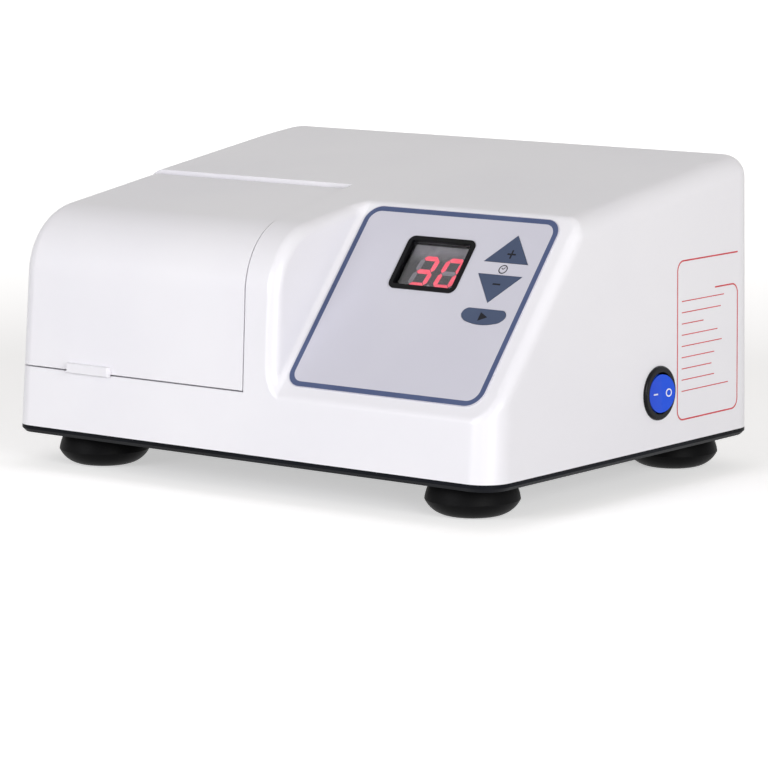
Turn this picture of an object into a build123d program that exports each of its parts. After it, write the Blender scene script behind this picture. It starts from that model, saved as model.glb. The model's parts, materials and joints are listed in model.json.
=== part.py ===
from build123d import *
from math import cos, hypot, radians, sin, tan
import os

# Capsule mixer (dental amalgamator) on four rubber feet.
# Millimetres.  X points to the right, Y to the back, Z up.
# The origin is on the table, under the middle of the housing.

os.makedirs("parts", exist_ok=True)

# ---------------------------------------------------------------- housing
body_width = 240.0
body_depth = 181.0
wall = 3.0
front_draft = 3.0
left_draft = 1.6
side_draft = 0.5
plan_corner = 11.5
edge_radius = 8.5
brow_radius = 28.0
break_radius = 300.0
break_y = -9.5
break_rise = 97.7
front_roof_angle = 9.3
rear_roof_angle = 8.2
crown_radius = 200.0
crown_inset = 29.5
crown_angle = 6.0
slope_rise = 23.8
slope_angle = 49.9
block_gap = 2.6
ridge_radius = 5.0
pocket_corner = 2.5

# ---------------------------------------------------------------- base and feet
foot_height = 13.5
foot_radius = 18.3
foot_top_radius = 15.6
foot_contact_radius = 9.4
foot_side_inset = 27.0
foot_front_inset = 25.0
foot_rear_inset = 20.0
foot_cup_depth = 2.5
plate_thick = 3.0
plate_chamfer = 1.5
m4_radius = 2.0
m3_radius = 1.5
screw_clearance = 0.15
screw_head_height = 2.2
countersink_radius = 2.8
countersink_depth = 1.3
base_screw_inset = 6.5
boss_radius = 4.0
boss_height = 12.0

# ---------------------------------------------------------------- lid
seam_rise = 24.2
seam_gap = 0.6
seam_strip = 15.2
seam_lean = 9.0
lid_wall = 2.2
lid_step = 1.0
partition = 2.5
nose_radius = 2.6
hinge_pin_radius = 0.8
running_gap = 0.05
lug_radius = 1.5
lug_thick = 3.2
lug_gap = 0.3
lug_inset = 3.0
lug_reach = 7.0
lug_step = 3.2
lip_length = 22.0
lip_height = 4.0
lip_drop = 1.0
lip_reach = 2.4
lip_clearance = 0.4
lip_round = 0.7
lip_inset = 41.0
magnet_radius = 3.0
magnet_thick = 2.5
magnet_inset = 25.0
magnet_rise = 8.0

# ---------------------------------------------------------------- mixing tray
tray_wall = 2.0
tray_gap = 0.8
tray_floor_rise = 7.5
tray_height = 19.5
tray_post_radius = 4.0
tray_post_spacing = 30.0

# ---------------------------------------------------------------- panel
label_width = 92.9
label_height = 84.9
label_margin = 9.3
label_start = 5.3
label_corner = 7.0
label_thick = 0.5
display_margin = 66.5
display_start = 53.2
display_width = 32.0
display_height = 24.3
display_corner = 3.0
display_frame = 1.2
display_frame_proud = 0.5
window_thick = 1.2
window_sink = 0.4
digit_height = 14.2
digit_width = 8.9
digit_pitch = 12.0
digit_lean = 0.14
digit_shift = 1.0
digit_drop = 1.7
point_radius = 0.7
segment_width = 2.0
segment_gap = 0.15
segment_proud = 0.15
module_gap = 0.2
key_width = 20.3
key_height = 12.5
key_margin = 17.4
plus_base = 69.1
minus_base = 63.4
start_width = 20.3
start_height = 7.0
start_centre = 44.4
key_gap = 0.15
key_proud = 0.1
key_travel = 0.35
key_rest_gap = 0.02
key_stem_radius = 1.6
board_thick = 1.6
board_depth = 12.0
switch_size = 6.0
switch_height = 3.5
standoff_radius = 2.6

# ---------------------------------------------------------------- rocker switch
rocker_y = 20.0
rocker_rise = 21.6
bezel_radius = 10.7
bezel_proud = 1.3
bezel_round = 0.9
rocker_bore = 8.3
rocker_radius = 7.5
rocker_tilt = 7.5
rocker_valley = 3.0
rocker_depth = 5.0
rocker_proud = 1.86
rocker_body_radius = 9.7
rocker_body_depth = 15.0
pivot_radius = 1.1
pivot_depth = 2.6
panel_fit = 0.15

# ---------------------------------------------------------------- mains inlet
inlet_inset = 36.0
inlet_rise = 33.5
inlet_flange_width = 50.0
inlet_flange_height = 33.0
inlet_flange_thick = 1.6
inlet_body_width = 28.0
inlet_body_height = 31.0
inlet_depth = 24.0
socket_width = 24.2
socket_height = 16.9
socket_depth = 17.0
pin_width = 2.0
pin_height = 4.0
pin_pitch = 7.0
pin_length = 12.0
drawer_width = 22.0
drawer_height = 6.6
drawer_depth = 20.0
drawer_gap = 0.2
drawer_proud = 0.4
fuse_radius = 2.5
fuse_length = 18.0

# ---------------------------------------------------------------- motor
motor_inset = 58.0
motor_rise = 45.5
motor_radius = 27.0
stator_radius = 26.0
stator_bore = 16.0
stator_length = 36.0
armature_radius = 15.2
bell_wall = 2.0
front_bell_depth = 11.0
rear_bell_depth = 14.0
boss_outer = 9.0
shaft_radius = 3.0
bush_outer = 6.0
motor_setback = 18.0
bracket_thick = 2.5
bracket_width = 64.0
fan_radius = 23.0
fan_thick = 7.0
seal_radius = 15.0

# ---------------------------------------------------------------- mixing head
head_y = -46.0
skew_angle = 7.0
journal_radius = 7.5
inner_ring_radius = 9.5
outer_ring_bore = 12.5
outer_ring_radius = 15.0
bearing_width = 6.0
ball_radius = 1.45
ball_count = 9
arm_boss_radius = 18.5
arm_thick = 7.0
arm_top = 21.8
arm_width = 12.0
capsule_radius = 5.75
clip_thick = 1.2
clip_length = 16.0
clip_mouth = 100.0
tail_bar_low = 27.0
tail_bar_height = 4.0
tail_bar_width = 26.0
spring_radius = 2.4
spring_wire = 0.6
spring_turns = 5
spring_x = 9.0

# ---------------------------------------------------------------- power parts
transformer_inset = 26.2
transformer_y = 36.0
core_width = 44.0
core_depth = 20.0
core_height = 37.0
core_limb = 7.5
winding_overhang = 8.5
power_board_inset = 58.0
power_board_y = -26.0
power_board_width = 62.0
power_board_depth = 40.0
power_board_rise = 6.0

# ---------------------------------------------------------------- worked-out levels
plate_top = foot_height + plate_thick
seam_z = plate_top + seam_rise
break_z = plate_top + break_rise
front_slope = tan(radians(front_draft))
left_slope = tan(radians(left_draft))
side_slope = tan(radians(side_draft))
front_roof = tan(radians(front_roof_angle))
rear_roof = tan(radians(rear_roof_angle))
crown_roof = tan(radians(crown_angle))
half_width = body_width / 2
half_depth = body_depth / 2
label_x = half_width - label_margin - label_width
block_right_x = label_x - block_gap
seam_front_x = block_right_x - seam_strip
seam_rear_x = seam_front_x - seam_lean
lip_x = lip_inset - half_width
magnet_x = seam_front_x - magnet_inset
display_x = label_x + label_width - display_margin
key_x = label_x + label_width - key_margin
inlet_x = half_width - inlet_inset
motor_x = motor_inset - half_width
motor_front_y = break_y + motor_setback
transformer_x = label_x + transformer_inset
power_board_x = half_width - power_board_inset
lid_run = half_depth + break_y - break_rise * front_slope
lid_roof = front_roof - lid_step / lid_run
motor_z = plate_top + motor_rise
overrun = 40.0


def front_y(z):
    """Y of the leaning front face at height z."""
    return -half_depth + (z - plate_top) * front_slope


def rear_y(z):
    """Y of the rear face at height z."""
    return half_depth - (z - plate_top) * side_slope


def left_x(z):
    """X of the left face at height z."""
    return -half_width + (z - plate_top) * left_slope


def right_x(z):
    """X of the right face at height z."""
    return half_width - (z - plate_top) * side_slope


def lid_roof_z(y):
    """Height of the lid's top, which sinks below the housing towards its hinge, at depth y."""
    return break_z - lid_step + (y - break_y) * lid_roof


def seam_x(y):
    """X of the seam on the lid's right at depth y."""
    share = (y - front_y(seam_z)) / (break_y - front_y(seam_z))
    return seam_front_x + share * (seam_rear_x - seam_front_x)


slope_z = plate_top + slope_rise
slope_y = front_y(slope_z)
slope_rad = radians(slope_angle)
panel_plane = Plane(
    origin=(0, slope_y, slope_z),
    x_dir=(1, 0, 0),
    z_dir=(0, -sin(slope_rad), cos(slope_rad)),
)
pin_y = break_y - seam_gap - nose_radius
pin_z = lid_roof_z(pin_y) - nose_radius * hypot(1, lid_roof)


def across_motor(y):
    """Plane square to the motor's axis at depth y, with its normal to the back."""
    return Plane(origin=(motor_x, y, motor_z), x_dir=(-1, 0, 0), z_dir=(0, 1, 0))


skew_rad = radians(skew_angle)
head_plane = Plane(
    origin=(motor_x, head_y, motor_z),
    x_dir=(1, 0, 0),
    z_dir=(0, -cos(skew_rad), -sin(skew_rad)),
)
foot_x = half_width - foot_side_inset
foot_front_y = foot_front_inset - half_depth
foot_rear_y = half_depth - foot_rear_inset
foot_places = {
    "foot_front_left": (-foot_x, foot_front_y),
    "foot_front_right": (foot_x, foot_front_y),
    "foot_rear_left": (-foot_x, foot_rear_y),
    "foot_rear_right": (foot_x, foot_rear_y),
}
screw_line_x = half_width - base_screw_inset
screw_line_y = half_depth - base_screw_inset
base_screw_places = [
    (-screw_line_x, 0),
    (screw_line_x, 0),
    (-screw_line_x / 3, screw_line_y),
    (screw_line_x / 3, screw_line_y),
    (block_right_x, -screw_line_y),
    (screw_line_x / 2 + block_right_x, -screw_line_y),
]


def finish(block, name):
    """Label a finished piece and write its own STEP file."""
    block.part.label = name
    export_step(block.part, f"parts/{name}.step")


# ================================================================ housing form
def pocket_tool(inset):
    """Space over the sloping panel, with a rounded inner corner beside the lid block."""
    along_y = cos(slope_rad)
    along_z = sin(slope_rad)
    start_y = slope_y + sin(slope_rad) * inset
    start_z = slope_z - cos(slope_rad) * inset
    run = body_width
    low = (start_y - overrun * along_y, start_z - overrun * along_z)
    high = (start_y + run * along_y, start_z + run * along_z)
    with BuildPart() as tool:
        with BuildSketch(Plane.YZ.offset(block_right_x - inset)):
            with BuildLine():
                Polyline(low, high, (low[0], high[1]), close=True)
            make_face()
        extrude(amount=body_width)
        inner_corner = tool.edges().filter_by(
            lambda e: abs(e.center().X - block_right_x + inset) < 0.01 and e.length > run
        )
        fillet(inner_corner, radius=pocket_corner + inset)
    return tool.part


def roof_edges(form, floor_z, inset, whole):
    """Edges where the sides and the back meet the roof, and the front-left upright."""
    band = 2 * edge_radius + 3
    picked = []
    for edge in form.edges():
        box = edge.bounding_box()
        middle = edge.center()
        if box.max.Z < floor_z + 1:
            continue
        if box.min.Z < floor_z + 0.1:
            if middle.X < 0 and middle.Y < 0:
                picked.append(edge)
            continue
        narrow = box.size.X < band
        at_left = narrow and box.max.X < -half_width + inset + band
        at_rear = middle.Y > half_depth - inset - band
        at_right = whole and middle.X > half_width - inset - 8 and middle.Y > break_y - 20
        if at_left or at_rear or at_right:
            picked.append(edge)
    return picked


def pocket_rim(form, inset):
    """Edges round the sloping panel's recess, found as the border of its three faces."""
    wall_x = block_right_x - inset
    bounds = []
    for face in form.faces():
        centre = face.center()
        normal = face.normal_at(centre)
        is_slope = abs(normal.Y + sin(slope_rad)) < 0.01 and abs(normal.X) < 0.01
        is_wall = normal.X > 0.99 and abs(centre.X - wall_x) < 0.5
        is_corner = face.geom_type == GeomType.CYLINDER and (
            wall_x - 0.1 < centre.X < wall_x + pocket_corner + inset
        )
        if is_slope or is_wall or is_corner:
            bounds.extend(face.edges())
    return [e for e in bounds if sum(e.is_same(other) for other in bounds) == 1]


def housing_form(inset, floor_z, sink=0.0, whole=True):
    """The housing's closed outer shape, moved in by inset; sink lowers its roof towards the break.

    Without whole, the panel's recess and the right-hand roundings are left out, as the lid needs
    the left half only.
    """
    roof_z = break_z - inset - sink
    roof = front_roof - sink / lid_run
    toe_y = front_y(floor_z) + inset
    heel_y = rear_y(floor_z) - inset
    brow_z = roof_z + (toe_y - front_slope * floor_z - break_y) * roof
    brow_z = brow_z / (1 - front_slope * roof)
    brow_y = toe_y + front_slope * (brow_z - floor_z)
    crown_y = half_depth - crown_inset
    crown_z = roof_z + (crown_y - break_y) * rear_roof
    nape_z = crown_z + (heel_y + side_slope * floor_z - crown_y) * crown_roof
    nape_z = nape_z / (1 + side_slope * crown_roof)
    nape_y = heel_y - side_slope * (nape_z - floor_z)
    tool = pocket_tool(inset)
    with BuildPart() as form:
        with BuildSketch(Plane.YZ.offset(-body_width)):
            with BuildLine():
                FilletPolyline(
                    (toe_y, floor_z),
                    (brow_y, brow_z),
                    (break_y, roof_z),
                    (crown_y, crown_z),
                    (nape_y, nape_z),
                    radius=[brow_radius - inset, break_radius - inset, crown_radius - inset],
                )
                Line((nape_y, nape_z), (heel_y, floor_z))
                Line((heel_y, floor_z), (toe_y, floor_z))
            make_face()
        extrude(amount=2 * body_width)
        for side, slope in ((-1, left_slope), (1, side_slope)):
            edge_x = side * (half_width - inset)
            low = (edge_x + side * slope * overrun, plate_top - overrun)
            high = (edge_x - side * slope * body_width, plate_top + body_width)
            far_x = side * body_width
            with BuildSketch(Plane.XZ.offset(-body_depth)):
                with BuildLine():
                    Polyline(low, high, (far_x, high[1]), (far_x, low[1]), close=True)
                make_face()
            extrude(amount=2 * body_depth, mode=Mode.SUBTRACT)
        if whole:
            add(tool, mode=Mode.SUBTRACT)
        uprights = form.edges().filter_by(
            lambda e: e.bounding_box().min.Z < floor_z + 0.1
            and e.bounding_box().max.Z > floor_z + 10
            and not (e.center().X < 0 and e.center().Y < 0)
            and (whole or e.center().X < 0)
        )
        fillet(uprights, radius=plan_corner - inset)
        fillet(roof_edges(form.part, floor_z, inset, whole), radius=edge_radius - inset)
        if whole:
            rim_radius = max(ridge_radius - inset, ridge_radius / 2)
            fillet(pocket_rim(form.part, inset), radius=rim_radius)
    return form.part


outer_form = housing_form(0, plate_top)
inner_form = housing_form(wall, plate_top - 1)

# ================================================================ housing shell
rim_z = seam_z - seam_gap / 2
bay_front_y = -body_depth
partition_right = partition + seam_gap / 2


def bay_outline(right_offset, rear_y_here):
    """Plan outline of the lid's bay, its right side skewed like the seam."""
    return [
        (-body_width, bay_front_y),
        (seam_x(bay_front_y) + right_offset, bay_front_y),
        (seam_x(rear_y_here) + right_offset, rear_y_here),
        (-body_width, rear_y_here),
    ]


with BuildPart() as partitions:
    with BuildSketch(Plane.XY.offset(plate_top)):
        with BuildLine():
            Polyline(*bay_outline(partition_right, break_y + partition), close=True)
        make_face()
        with BuildLine():
            Polyline(*bay_outline(seam_gap / 2, break_y), close=True)
        make_face(mode=Mode.SUBTRACT)
    extrude(amount=body_width)
    add(outer_form, mode=Mode.INTERSECT)

with BuildPart() as lid_bay:
    with BuildSketch(Plane.XY.offset(rim_z)):
        with BuildLine():
            Polyline(*bay_outline(seam_gap / 2, break_y), close=True)
        make_face()
    extrude(amount=body_width)

lug_left_x = left_x(pin_z) + lid_wall + lug_inset
lug_right_x = seam_x(pin_y) - seam_gap - lid_wall - lug_inset - lug_thick
lug_starts = [lug_left_x, lug_right_x]
switch_x = right_x(plate_top + rocker_rise)
rocker_plane = Plane(
    origin=(switch_x, rocker_y, plate_top + rocker_rise),
    x_dir=(0, 1, 0),
    z_dir=(1, 0, side_slope),
)
inlet_z = plate_top + inlet_rise
inlet_y = rear_y(inlet_z)
inlet_plane = Plane(origin=(inlet_x, inlet_y, inlet_z), x_dir=(-1, 0, 0), z_dir=(0, 1, side_slope))
inlet_screw_x = inlet_flange_width / 2 - 5.0
vent_count = 7
vent_pitch = 9.0
vent_width = 3.0
vent_length = 34.0
vent_plane = Plane(origin=(motor_x, half_depth, motor_z), x_dir=(-1, 0, 0), z_dir=(0, 1, 0))
window_width = display_width - 2 * display_frame
window_height = display_height - 2 * display_frame
display_centre = (display_x + display_width / 2, display_start + display_height / 2)
label_centre = (label_x + label_width / 2, label_start + label_height / 2)
key_places = {
    "key_plus": (key_x, plus_base + key_height / 2),
    "key_minus": (key_x, minus_base - key_height / 2),
    "key_start": (key_x + 0.8, start_centre),
}


def key_outline(name, grow):
    """Draw one key's face in the current sketch, grown outwards by grow."""
    centre_x, centre_t = key_places[name]
    if name == "key_start":
        half_w = start_width / 2 + grow
        half_h = start_height / 2 + grow
        with BuildLine() as outline:
            top = Line(
                (centre_x - half_w * 0.76, centre_t + half_h),
                (centre_x + half_w * 0.76, centre_t + half_h),
            )
            right_end = ThreePointArc(
                top @ 1,
                (centre_x + half_w * 0.95, centre_t + half_h * 0.68),
                (centre_x + half_w, centre_t + half_h * 0.1),
            )
            left_end = ThreePointArc(
                top @ 0,
                (centre_x - half_w * 0.95, centre_t + half_h * 0.68),
                (centre_x - half_w, centre_t + half_h * 0.1),
            )
            low_right = ThreePointArc(
                right_end @ 1,
                (centre_x + half_w * 0.88, centre_t - half_h * 0.38),
                (centre_x + half_w * 0.62, centre_t - half_h * 0.74),
            )
            low_left = ThreePointArc(
                left_end @ 1,
                (centre_x - half_w * 0.88, centre_t - half_h * 0.38),
                (centre_x - half_w * 0.62, centre_t - half_h * 0.74),
            )
            ThreePointArc(low_right @ 1, (centre_x, centre_t - half_h), low_left @ 1)
        make_face(outline.edges())
    else:
        turn = 1 if name == "key_plus" else -1
        half_base = key_width / 2
        lean = hypot(half_base, key_height)
        side = grow * (half_base + lean) / key_height
        tip = grow * lean / half_base
        with BuildLine() as outline:
            Polyline(
                (centre_x - half_base - side, centre_t - turn * (key_height / 2 + grow)),
                (centre_x + half_base + side, centre_t - turn * (key_height / 2 + grow)),
                (centre_x, centre_t + turn * (key_height / 2 + tip)),
                close=True,
            )
        make_face(outline.edges())


with BuildPart() as housing_shell:
    add(outer_form)
    add(inner_form, mode=Mode.SUBTRACT)
    add(partitions.part)
    add(lid_bay.part, mode=Mode.SUBTRACT)
    # hinge lugs on the rear partition, inside the lid
    for lug_start in lug_starts:
        with BuildSketch(Plane.YZ.offset(lug_start)):
            with Locations((pin_y, pin_z)):
                Circle(lug_radius)
            with BuildLine():
                Polyline(
                    (pin_y - lug_radius, pin_z),
                    (pin_y - lug_radius, pin_z - lug_reach),
                    (break_y, pin_z - lug_reach),
                    (break_y, pin_z - lug_step),
                    (pin_y + hinge_pin_radius, pin_z - lug_step),
                    (pin_y + hinge_pin_radius, pin_z),
                    close=True,
                )
            make_face()
        extrude(amount=lug_thick)
    with BuildSketch(Plane.YZ.offset(-half_width)):
        with Locations((pin_y, pin_z)):
            Circle(hinge_pin_radius)
    extrude(amount=half_width + seam_rear_x - 1.5, mode=Mode.SUBTRACT)
    # hole for the shaft seal
    with BuildSketch(across_motor(break_y - 1)):
        Circle(seal_radius)
    extrude(amount=partition + 2, mode=Mode.SUBTRACT)
    # window and key stems through the sloping panel
    with BuildSketch(panel_plane.offset(1)):
        with Locations(display_centre):
            RectangleRounded(window_width, window_height, 1.0)
    extrude(amount=-wall - 2, mode=Mode.SUBTRACT)
    with BuildSketch(panel_plane.offset(1)):
        for key_name in key_places:
            key_outline(key_name, key_gap - 1.2)
    extrude(amount=-wall - 2, mode=Mode.SUBTRACT)
    # rocker switch hole
    with BuildSketch(rocker_plane.offset(5)):
        Circle(rocker_body_radius + panel_fit)
    extrude(amount=-wall - 8, mode=Mode.SUBTRACT)
    # mains inlet cut-out and its screw holes
    with BuildSketch(inlet_plane.offset(3)):
        Rectangle(inlet_body_width + 2 * panel_fit, inlet_body_height + 2 * panel_fit)
        with Locations((-inlet_screw_x, 0), (inlet_screw_x, 0)):
            Circle(m3_radius)
    extrude(amount=-wall - 6, mode=Mode.SUBTRACT)
    # cooling slots behind the motor
    with BuildSketch(vent_plane.offset(2)):
        with GridLocations(vent_pitch, 0, vent_count, 1):
            SlotOverall(vent_length, vent_width, rotation=90)
    extrude(amount=-wall - 6, mode=Mode.SUBTRACT)
    # bosses for the base plate's screws
    with BuildSketch(Plane.XY.offset(plate_top)):
        with Locations(*base_screw_places):
            Circle(boss_radius)
    extrude(amount=boss_height)
    with BuildSketch(Plane.XY.offset(plate_top)):
        with Locations(*base_screw_places):
            Circle(m3_radius)
    extrude(amount=boss_height - 2, mode=Mode.SUBTRACT)
finish(housing_shell, "housing_shell")

# ================================================================ base plate
tray_left = left_x(seam_z) + wall + tray_gap
tray_right = seam_x(break_y) - seam_gap - lid_wall - tray_gap
tray_front = front_y(seam_z) + wall + tray_gap
tray_rear = break_y - tray_gap
tray_width = tray_right - tray_left
tray_depth = tray_rear - tray_front
tray_centre = ((tray_left + tray_right) / 2, (tray_front + tray_rear) / 2)
tray_posts = [
    (tray_centre[0] + sx * tray_post_spacing / 2, tray_centre[1] + sy * tray_post_spacing / 2)
    for sx in (-1, 1)
    for sy in (-1, 1)
]
bracket_rear_y = 44.0
bracket_front_y = motor_front_y - front_bell_depth
bracket_screws = [
    (motor_x + sx * 24.0, y) for sx in (-1, 1) for y in (bracket_front_y + 16.0, bracket_rear_y - 8.0)
]
transformer_screws = [(transformer_x + sx * (core_width / 2 + 6.0), transformer_y) for sx in (-1, 1)]
board_screw_places = [
    (power_board_x + sx * (power_board_width / 2 - 4.0), power_board_y + sy * (power_board_depth / 2 - 4.0))
    for sx in (-1, 1)
    for sy in (-1, 1)
]
chassis_places = bracket_screws + transformer_screws + board_screw_places


with BuildPart() as base_plate:
    with BuildSketch(Plane.XY.offset(foot_height)):
        Rectangle(body_width, body_depth)
        corners = vertices().sort_by(lambda v: v.X + v.Y)
        fillet(corners[1:], radius=plan_corner)
        fillet(vertices().sort_by(lambda v: v.X + v.Y)[0], radius=edge_radius)
    extrude(amount=plate_thick)
    chamfer(base_plate.faces().sort_by(Axis.Z)[0].outer_wire().edges(), length=plate_chamfer)
    with BuildSketch(Plane.XY.offset(foot_height - 1)):
        with Locations(*foot_places.values()):
            Circle(m4_radius)
        with Locations(*base_screw_places, *tray_posts, *chassis_places):
            Circle(m3_radius)
    extrude(amount=plate_thick + 2, mode=Mode.SUBTRACT)
    with Locations(Location((0, 0, foot_height + countersink_depth / 2))):
        with Locations(*base_screw_places, *tray_posts):
            Cone(countersink_radius, m3_radius, countersink_depth, mode=Mode.SUBTRACT)
finish(base_plate, "base_plate")

with BuildPart() as base_screws:
    with Locations(Location((0, 0, foot_height + countersink_depth / 2))):
        with Locations(*base_screw_places, *tray_posts):
            Cone(countersink_radius, m3_radius, countersink_depth)
    with BuildSketch(Plane.XY.offset(foot_height + countersink_depth)):
        with Locations(*base_screw_places, *tray_posts):
            Circle(m3_radius)
    extrude(amount=plate_thick - countersink_depth + 5.5)
    with BuildSketch(Plane.XY.offset(foot_height)):
        with Locations(*base_screw_places, *tray_posts):
            Rectangle(countersink_radius * 1.3, 0.7)
            Rectangle(0.7, countersink_radius * 1.3)
    extrude(amount=countersink_depth * 0.8, mode=Mode.SUBTRACT)
finish(base_screws, "base_screws")

# ================================================================ feet
cup_radius = foot_contact_radius - 1.8
head_room = 4.6
head_seat = 8.0
widest_z = foot_height * 0.45
for foot_name, (x, y) in foot_places.items():
    with BuildPart() as foot:
        with BuildSketch(Plane(origin=(x, y, 0), x_dir=(1, 0, 0), z_dir=(0, -1, 0))):
            with BuildLine():
                Polyline(
                    (foot_contact_radius, 0),
                    (cup_radius, 0),
                    (cup_radius - 2.5, foot_cup_depth),
                    (head_room, foot_cup_depth),
                    (head_room, head_seat),
                    (m4_radius + screw_clearance, head_seat),
                    (m4_radius + screw_clearance, foot_height),
                    (foot_top_radius, foot_height),
                )
                ThreePointArc(
                    (foot_top_radius, foot_height),
                    (foot_radius - 0.8, foot_height * 0.7),
                    (foot_radius, widest_z),
                )
                ThreePointArc(
                    (foot_radius, widest_z),
                    (foot_radius - 3.0, foot_height * 0.165),
                    (foot_contact_radius, 0),
                )
            make_face()
        revolve(axis=Axis((x, y, 0), (0, 0, 1)))
    finish(foot, foot_name)

with BuildPart() as foot_screws:
    with BuildSketch(Plane.XY.offset(head_seat - screw_head_height)):
        with Locations(*foot_places.values()):
            Circle(head_room - 0.8)
    extrude(amount=screw_head_height)
    with BuildSketch(Plane.XY.offset(head_seat)):
        with Locations(*foot_places.values()):
            Circle(m4_radius)
    extrude(amount=foot_height - head_seat + plate_thick + 1.5)
    with BuildSketch(Plane.XY.offset(head_seat - screw_head_height)):
        with Locations(*foot_places.values()):
            Rectangle(head_room, 1.0)
            Rectangle(1.0, head_room)
    extrude(amount=screw_head_height / 2, mode=Mode.SUBTRACT)
finish(foot_screws, "foot_screws")

# ================================================================ mixing tray
tray_floor_z = plate_top + tray_floor_rise
tray_top_z = tray_floor_z + tray_height
with BuildPart() as mixing_tray:
    with BuildSketch(Plane.XY.offset(tray_floor_z)):
        with Locations(tray_centre):
            RectangleRounded(tray_width, tray_depth, edge_radius - wall)
    extrude(amount=tray_height)
    with BuildSketch(Plane.XY.offset(tray_floor_z + tray_wall)):
        with Locations(tray_centre):
            RectangleRounded(
                tray_width - 2 * tray_wall, tray_depth - 2 * tray_wall, edge_radius - wall - tray_wall
            )
    extrude(amount=tray_height, mode=Mode.SUBTRACT)
    with BuildSketch(Plane.XY.offset(plate_top)):
        with Locations(*tray_posts):
            Circle(tray_post_radius)
    extrude(amount=tray_floor_rise)
    with BuildSketch(Plane.XY.offset(plate_top)):
        with Locations(*tray_posts):
            Circle(m3_radius)
    extrude(amount=tray_floor_rise - 1, mode=Mode.SUBTRACT)
finish(mixing_tray, "mixing_tray")

reed_length = 16.0
reed_size = 4.0
with BuildPart() as reed_switch:
    with BuildSketch(Plane.XY.offset(tray_top_z - reed_size - 2)):
        with Locations((magnet_x, tray_front + tray_wall + reed_size / 2)):
            Rectangle(reed_length, reed_size)
    extrude(amount=reed_size)
    fillet(reed_switch.edges().filter_by(Axis.X), radius=0.6)
finish(reed_switch, "reed_switch")

with BuildPart() as shaft_seal:
    with BuildSketch(across_motor(break_y)):
        Circle(seal_radius)
        Circle(boss_outer, mode=Mode.SUBTRACT)
    extrude(amount=partition)
    with BuildSketch(across_motor(break_y - 1.5)):
        Circle(seal_radius + 2.5)
        Circle(boss_outer, mode=Mode.SUBTRACT)
    extrude(amount=1.5)
finish(shaft_seal, "shaft_seal")

# ================================================================ lid
lid_low = seam_z + seam_gap / 2
lid_rear = break_y - seam_gap
lid_outer = housing_form(0, plate_top, lid_step, whole=False)
lid_inner = housing_form(lid_wall, plate_top - 1, lid_step, whole=False)
with BuildPart() as lid_blank:
    with BuildSketch(Plane.XY.offset(lid_low)):
        with BuildLine():
            Polyline(*bay_outline(-seam_gap / 2, lid_rear), close=True)
        make_face()
    extrude(amount=body_width)
    # the rear edge is rounded about the hinge pin
    with BuildSketch(Plane.YZ.offset(-body_width)):
        with BuildLine():
            Polyline(
                (pin_y, pin_z),
                (lid_rear + 1, pin_z),
                (lid_rear + 1, pin_z + body_depth),
                (pin_y, pin_z + body_depth),
                close=True,
            )
        make_face()
        with Locations((pin_y, pin_z)):
            Circle(nose_radius, mode=Mode.SUBTRACT)
    extrude(amount=2 * body_width, mode=Mode.SUBTRACT)

with BuildPart() as lid_hollow:
    with BuildSketch(Plane.XY.offset(plate_top)):
        with BuildLine():
            Polyline(*bay_outline(-seam_gap / 2 - lid_wall, break_y + 5), close=True)
        make_face()
    extrude(amount=body_width)
    add(lid_inner, mode=Mode.INTERSECT)

barrel_start = lug_left_x + lug_thick + lug_gap
barrel_end = lug_right_x - lug_gap
lip_y = front_y(lid_low)
magnet_z = lid_low + magnet_rise
magnet_face_y = front_y(magnet_z) + lid_wall + 3.0
with BuildPart() as lid:
    add(lid_outer)
    add(lid_blank.part, mode=Mode.INTERSECT)
    add(lid_hollow.part, mode=Mode.SUBTRACT)
    # rolled rear edge that turns on the hinge pin
    with BuildSketch(Plane.YZ.offset(barrel_start)):
        with Locations((pin_y, pin_z)):
            Circle(nose_radius)
    extrude(amount=barrel_end - barrel_start)
    with BuildSketch(Plane.YZ.offset(barrel_start)):
        with Locations((pin_y, pin_z)):
            Circle(hinge_pin_radius + running_gap)
    extrude(amount=barrel_end - barrel_start, mode=Mode.SUBTRACT)
    # reliefs round the lugs
    for lug_start in lug_starts:
        with BuildSketch(Plane.YZ.offset(lug_start - lug_gap)):
            with Locations((pin_y, pin_z)):
                Circle(lug_radius + lug_gap)
            with Locations((pin_y + nose_radius, pin_z - nose_radius + lug_radius / 2)):
                Rectangle(2 * nose_radius, 3 * nose_radius)
        extrude(amount=lug_thick + 2 * lug_gap, mode=Mode.SUBTRACT)
    # magnet boss inside the front wall
    with BuildSketch(Plane.XZ.offset(-magnet_face_y)):
        with Locations((magnet_x, magnet_z)):
            Circle(magnet_radius + 1.5)
    extrude(amount=3.0 + lid_wall / 2)
    with BuildSketch(Plane.XZ.offset(-magnet_face_y)):
        with Locations((magnet_x, magnet_z)):
            Circle(magnet_radius)
    extrude(amount=magnet_thick, mode=Mode.SUBTRACT)
    # finger lip on the lower front edge
    with BuildSketch(Plane.XY.offset(lid_low)):
        with Locations((lip_x, lip_y + lid_wall / 2 - lip_reach / 2)):
            Rectangle(lip_length, lip_reach + lid_wall)
    extrude(amount=lip_height - lip_drop)
    with BuildSketch(Plane.XY.offset(lid_low - lip_drop)):
        with Locations((lip_x, lip_y - (lip_reach + lip_clearance) / 2)):
            Rectangle(lip_length, lip_reach - lip_clearance)
    extrude(amount=lip_drop)
    lip_edges = lid.edges().filter_by(
        lambda e: e.bounding_box().max.Y < lip_y - lip_reach + 0.05 and e.length > 1
    )
    fillet(lip_edges, radius=lip_round)
finish(lid, "lid")

with BuildPart() as lid_hinge_pin:
    with BuildSketch(Plane.YZ.offset(lug_left_x)):
        with Locations((pin_y, pin_z)):
            Circle(hinge_pin_radius)
    extrude(amount=lug_right_x + lug_thick - lug_left_x)
finish(lid_hinge_pin, "lid_hinge_pin")

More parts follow.
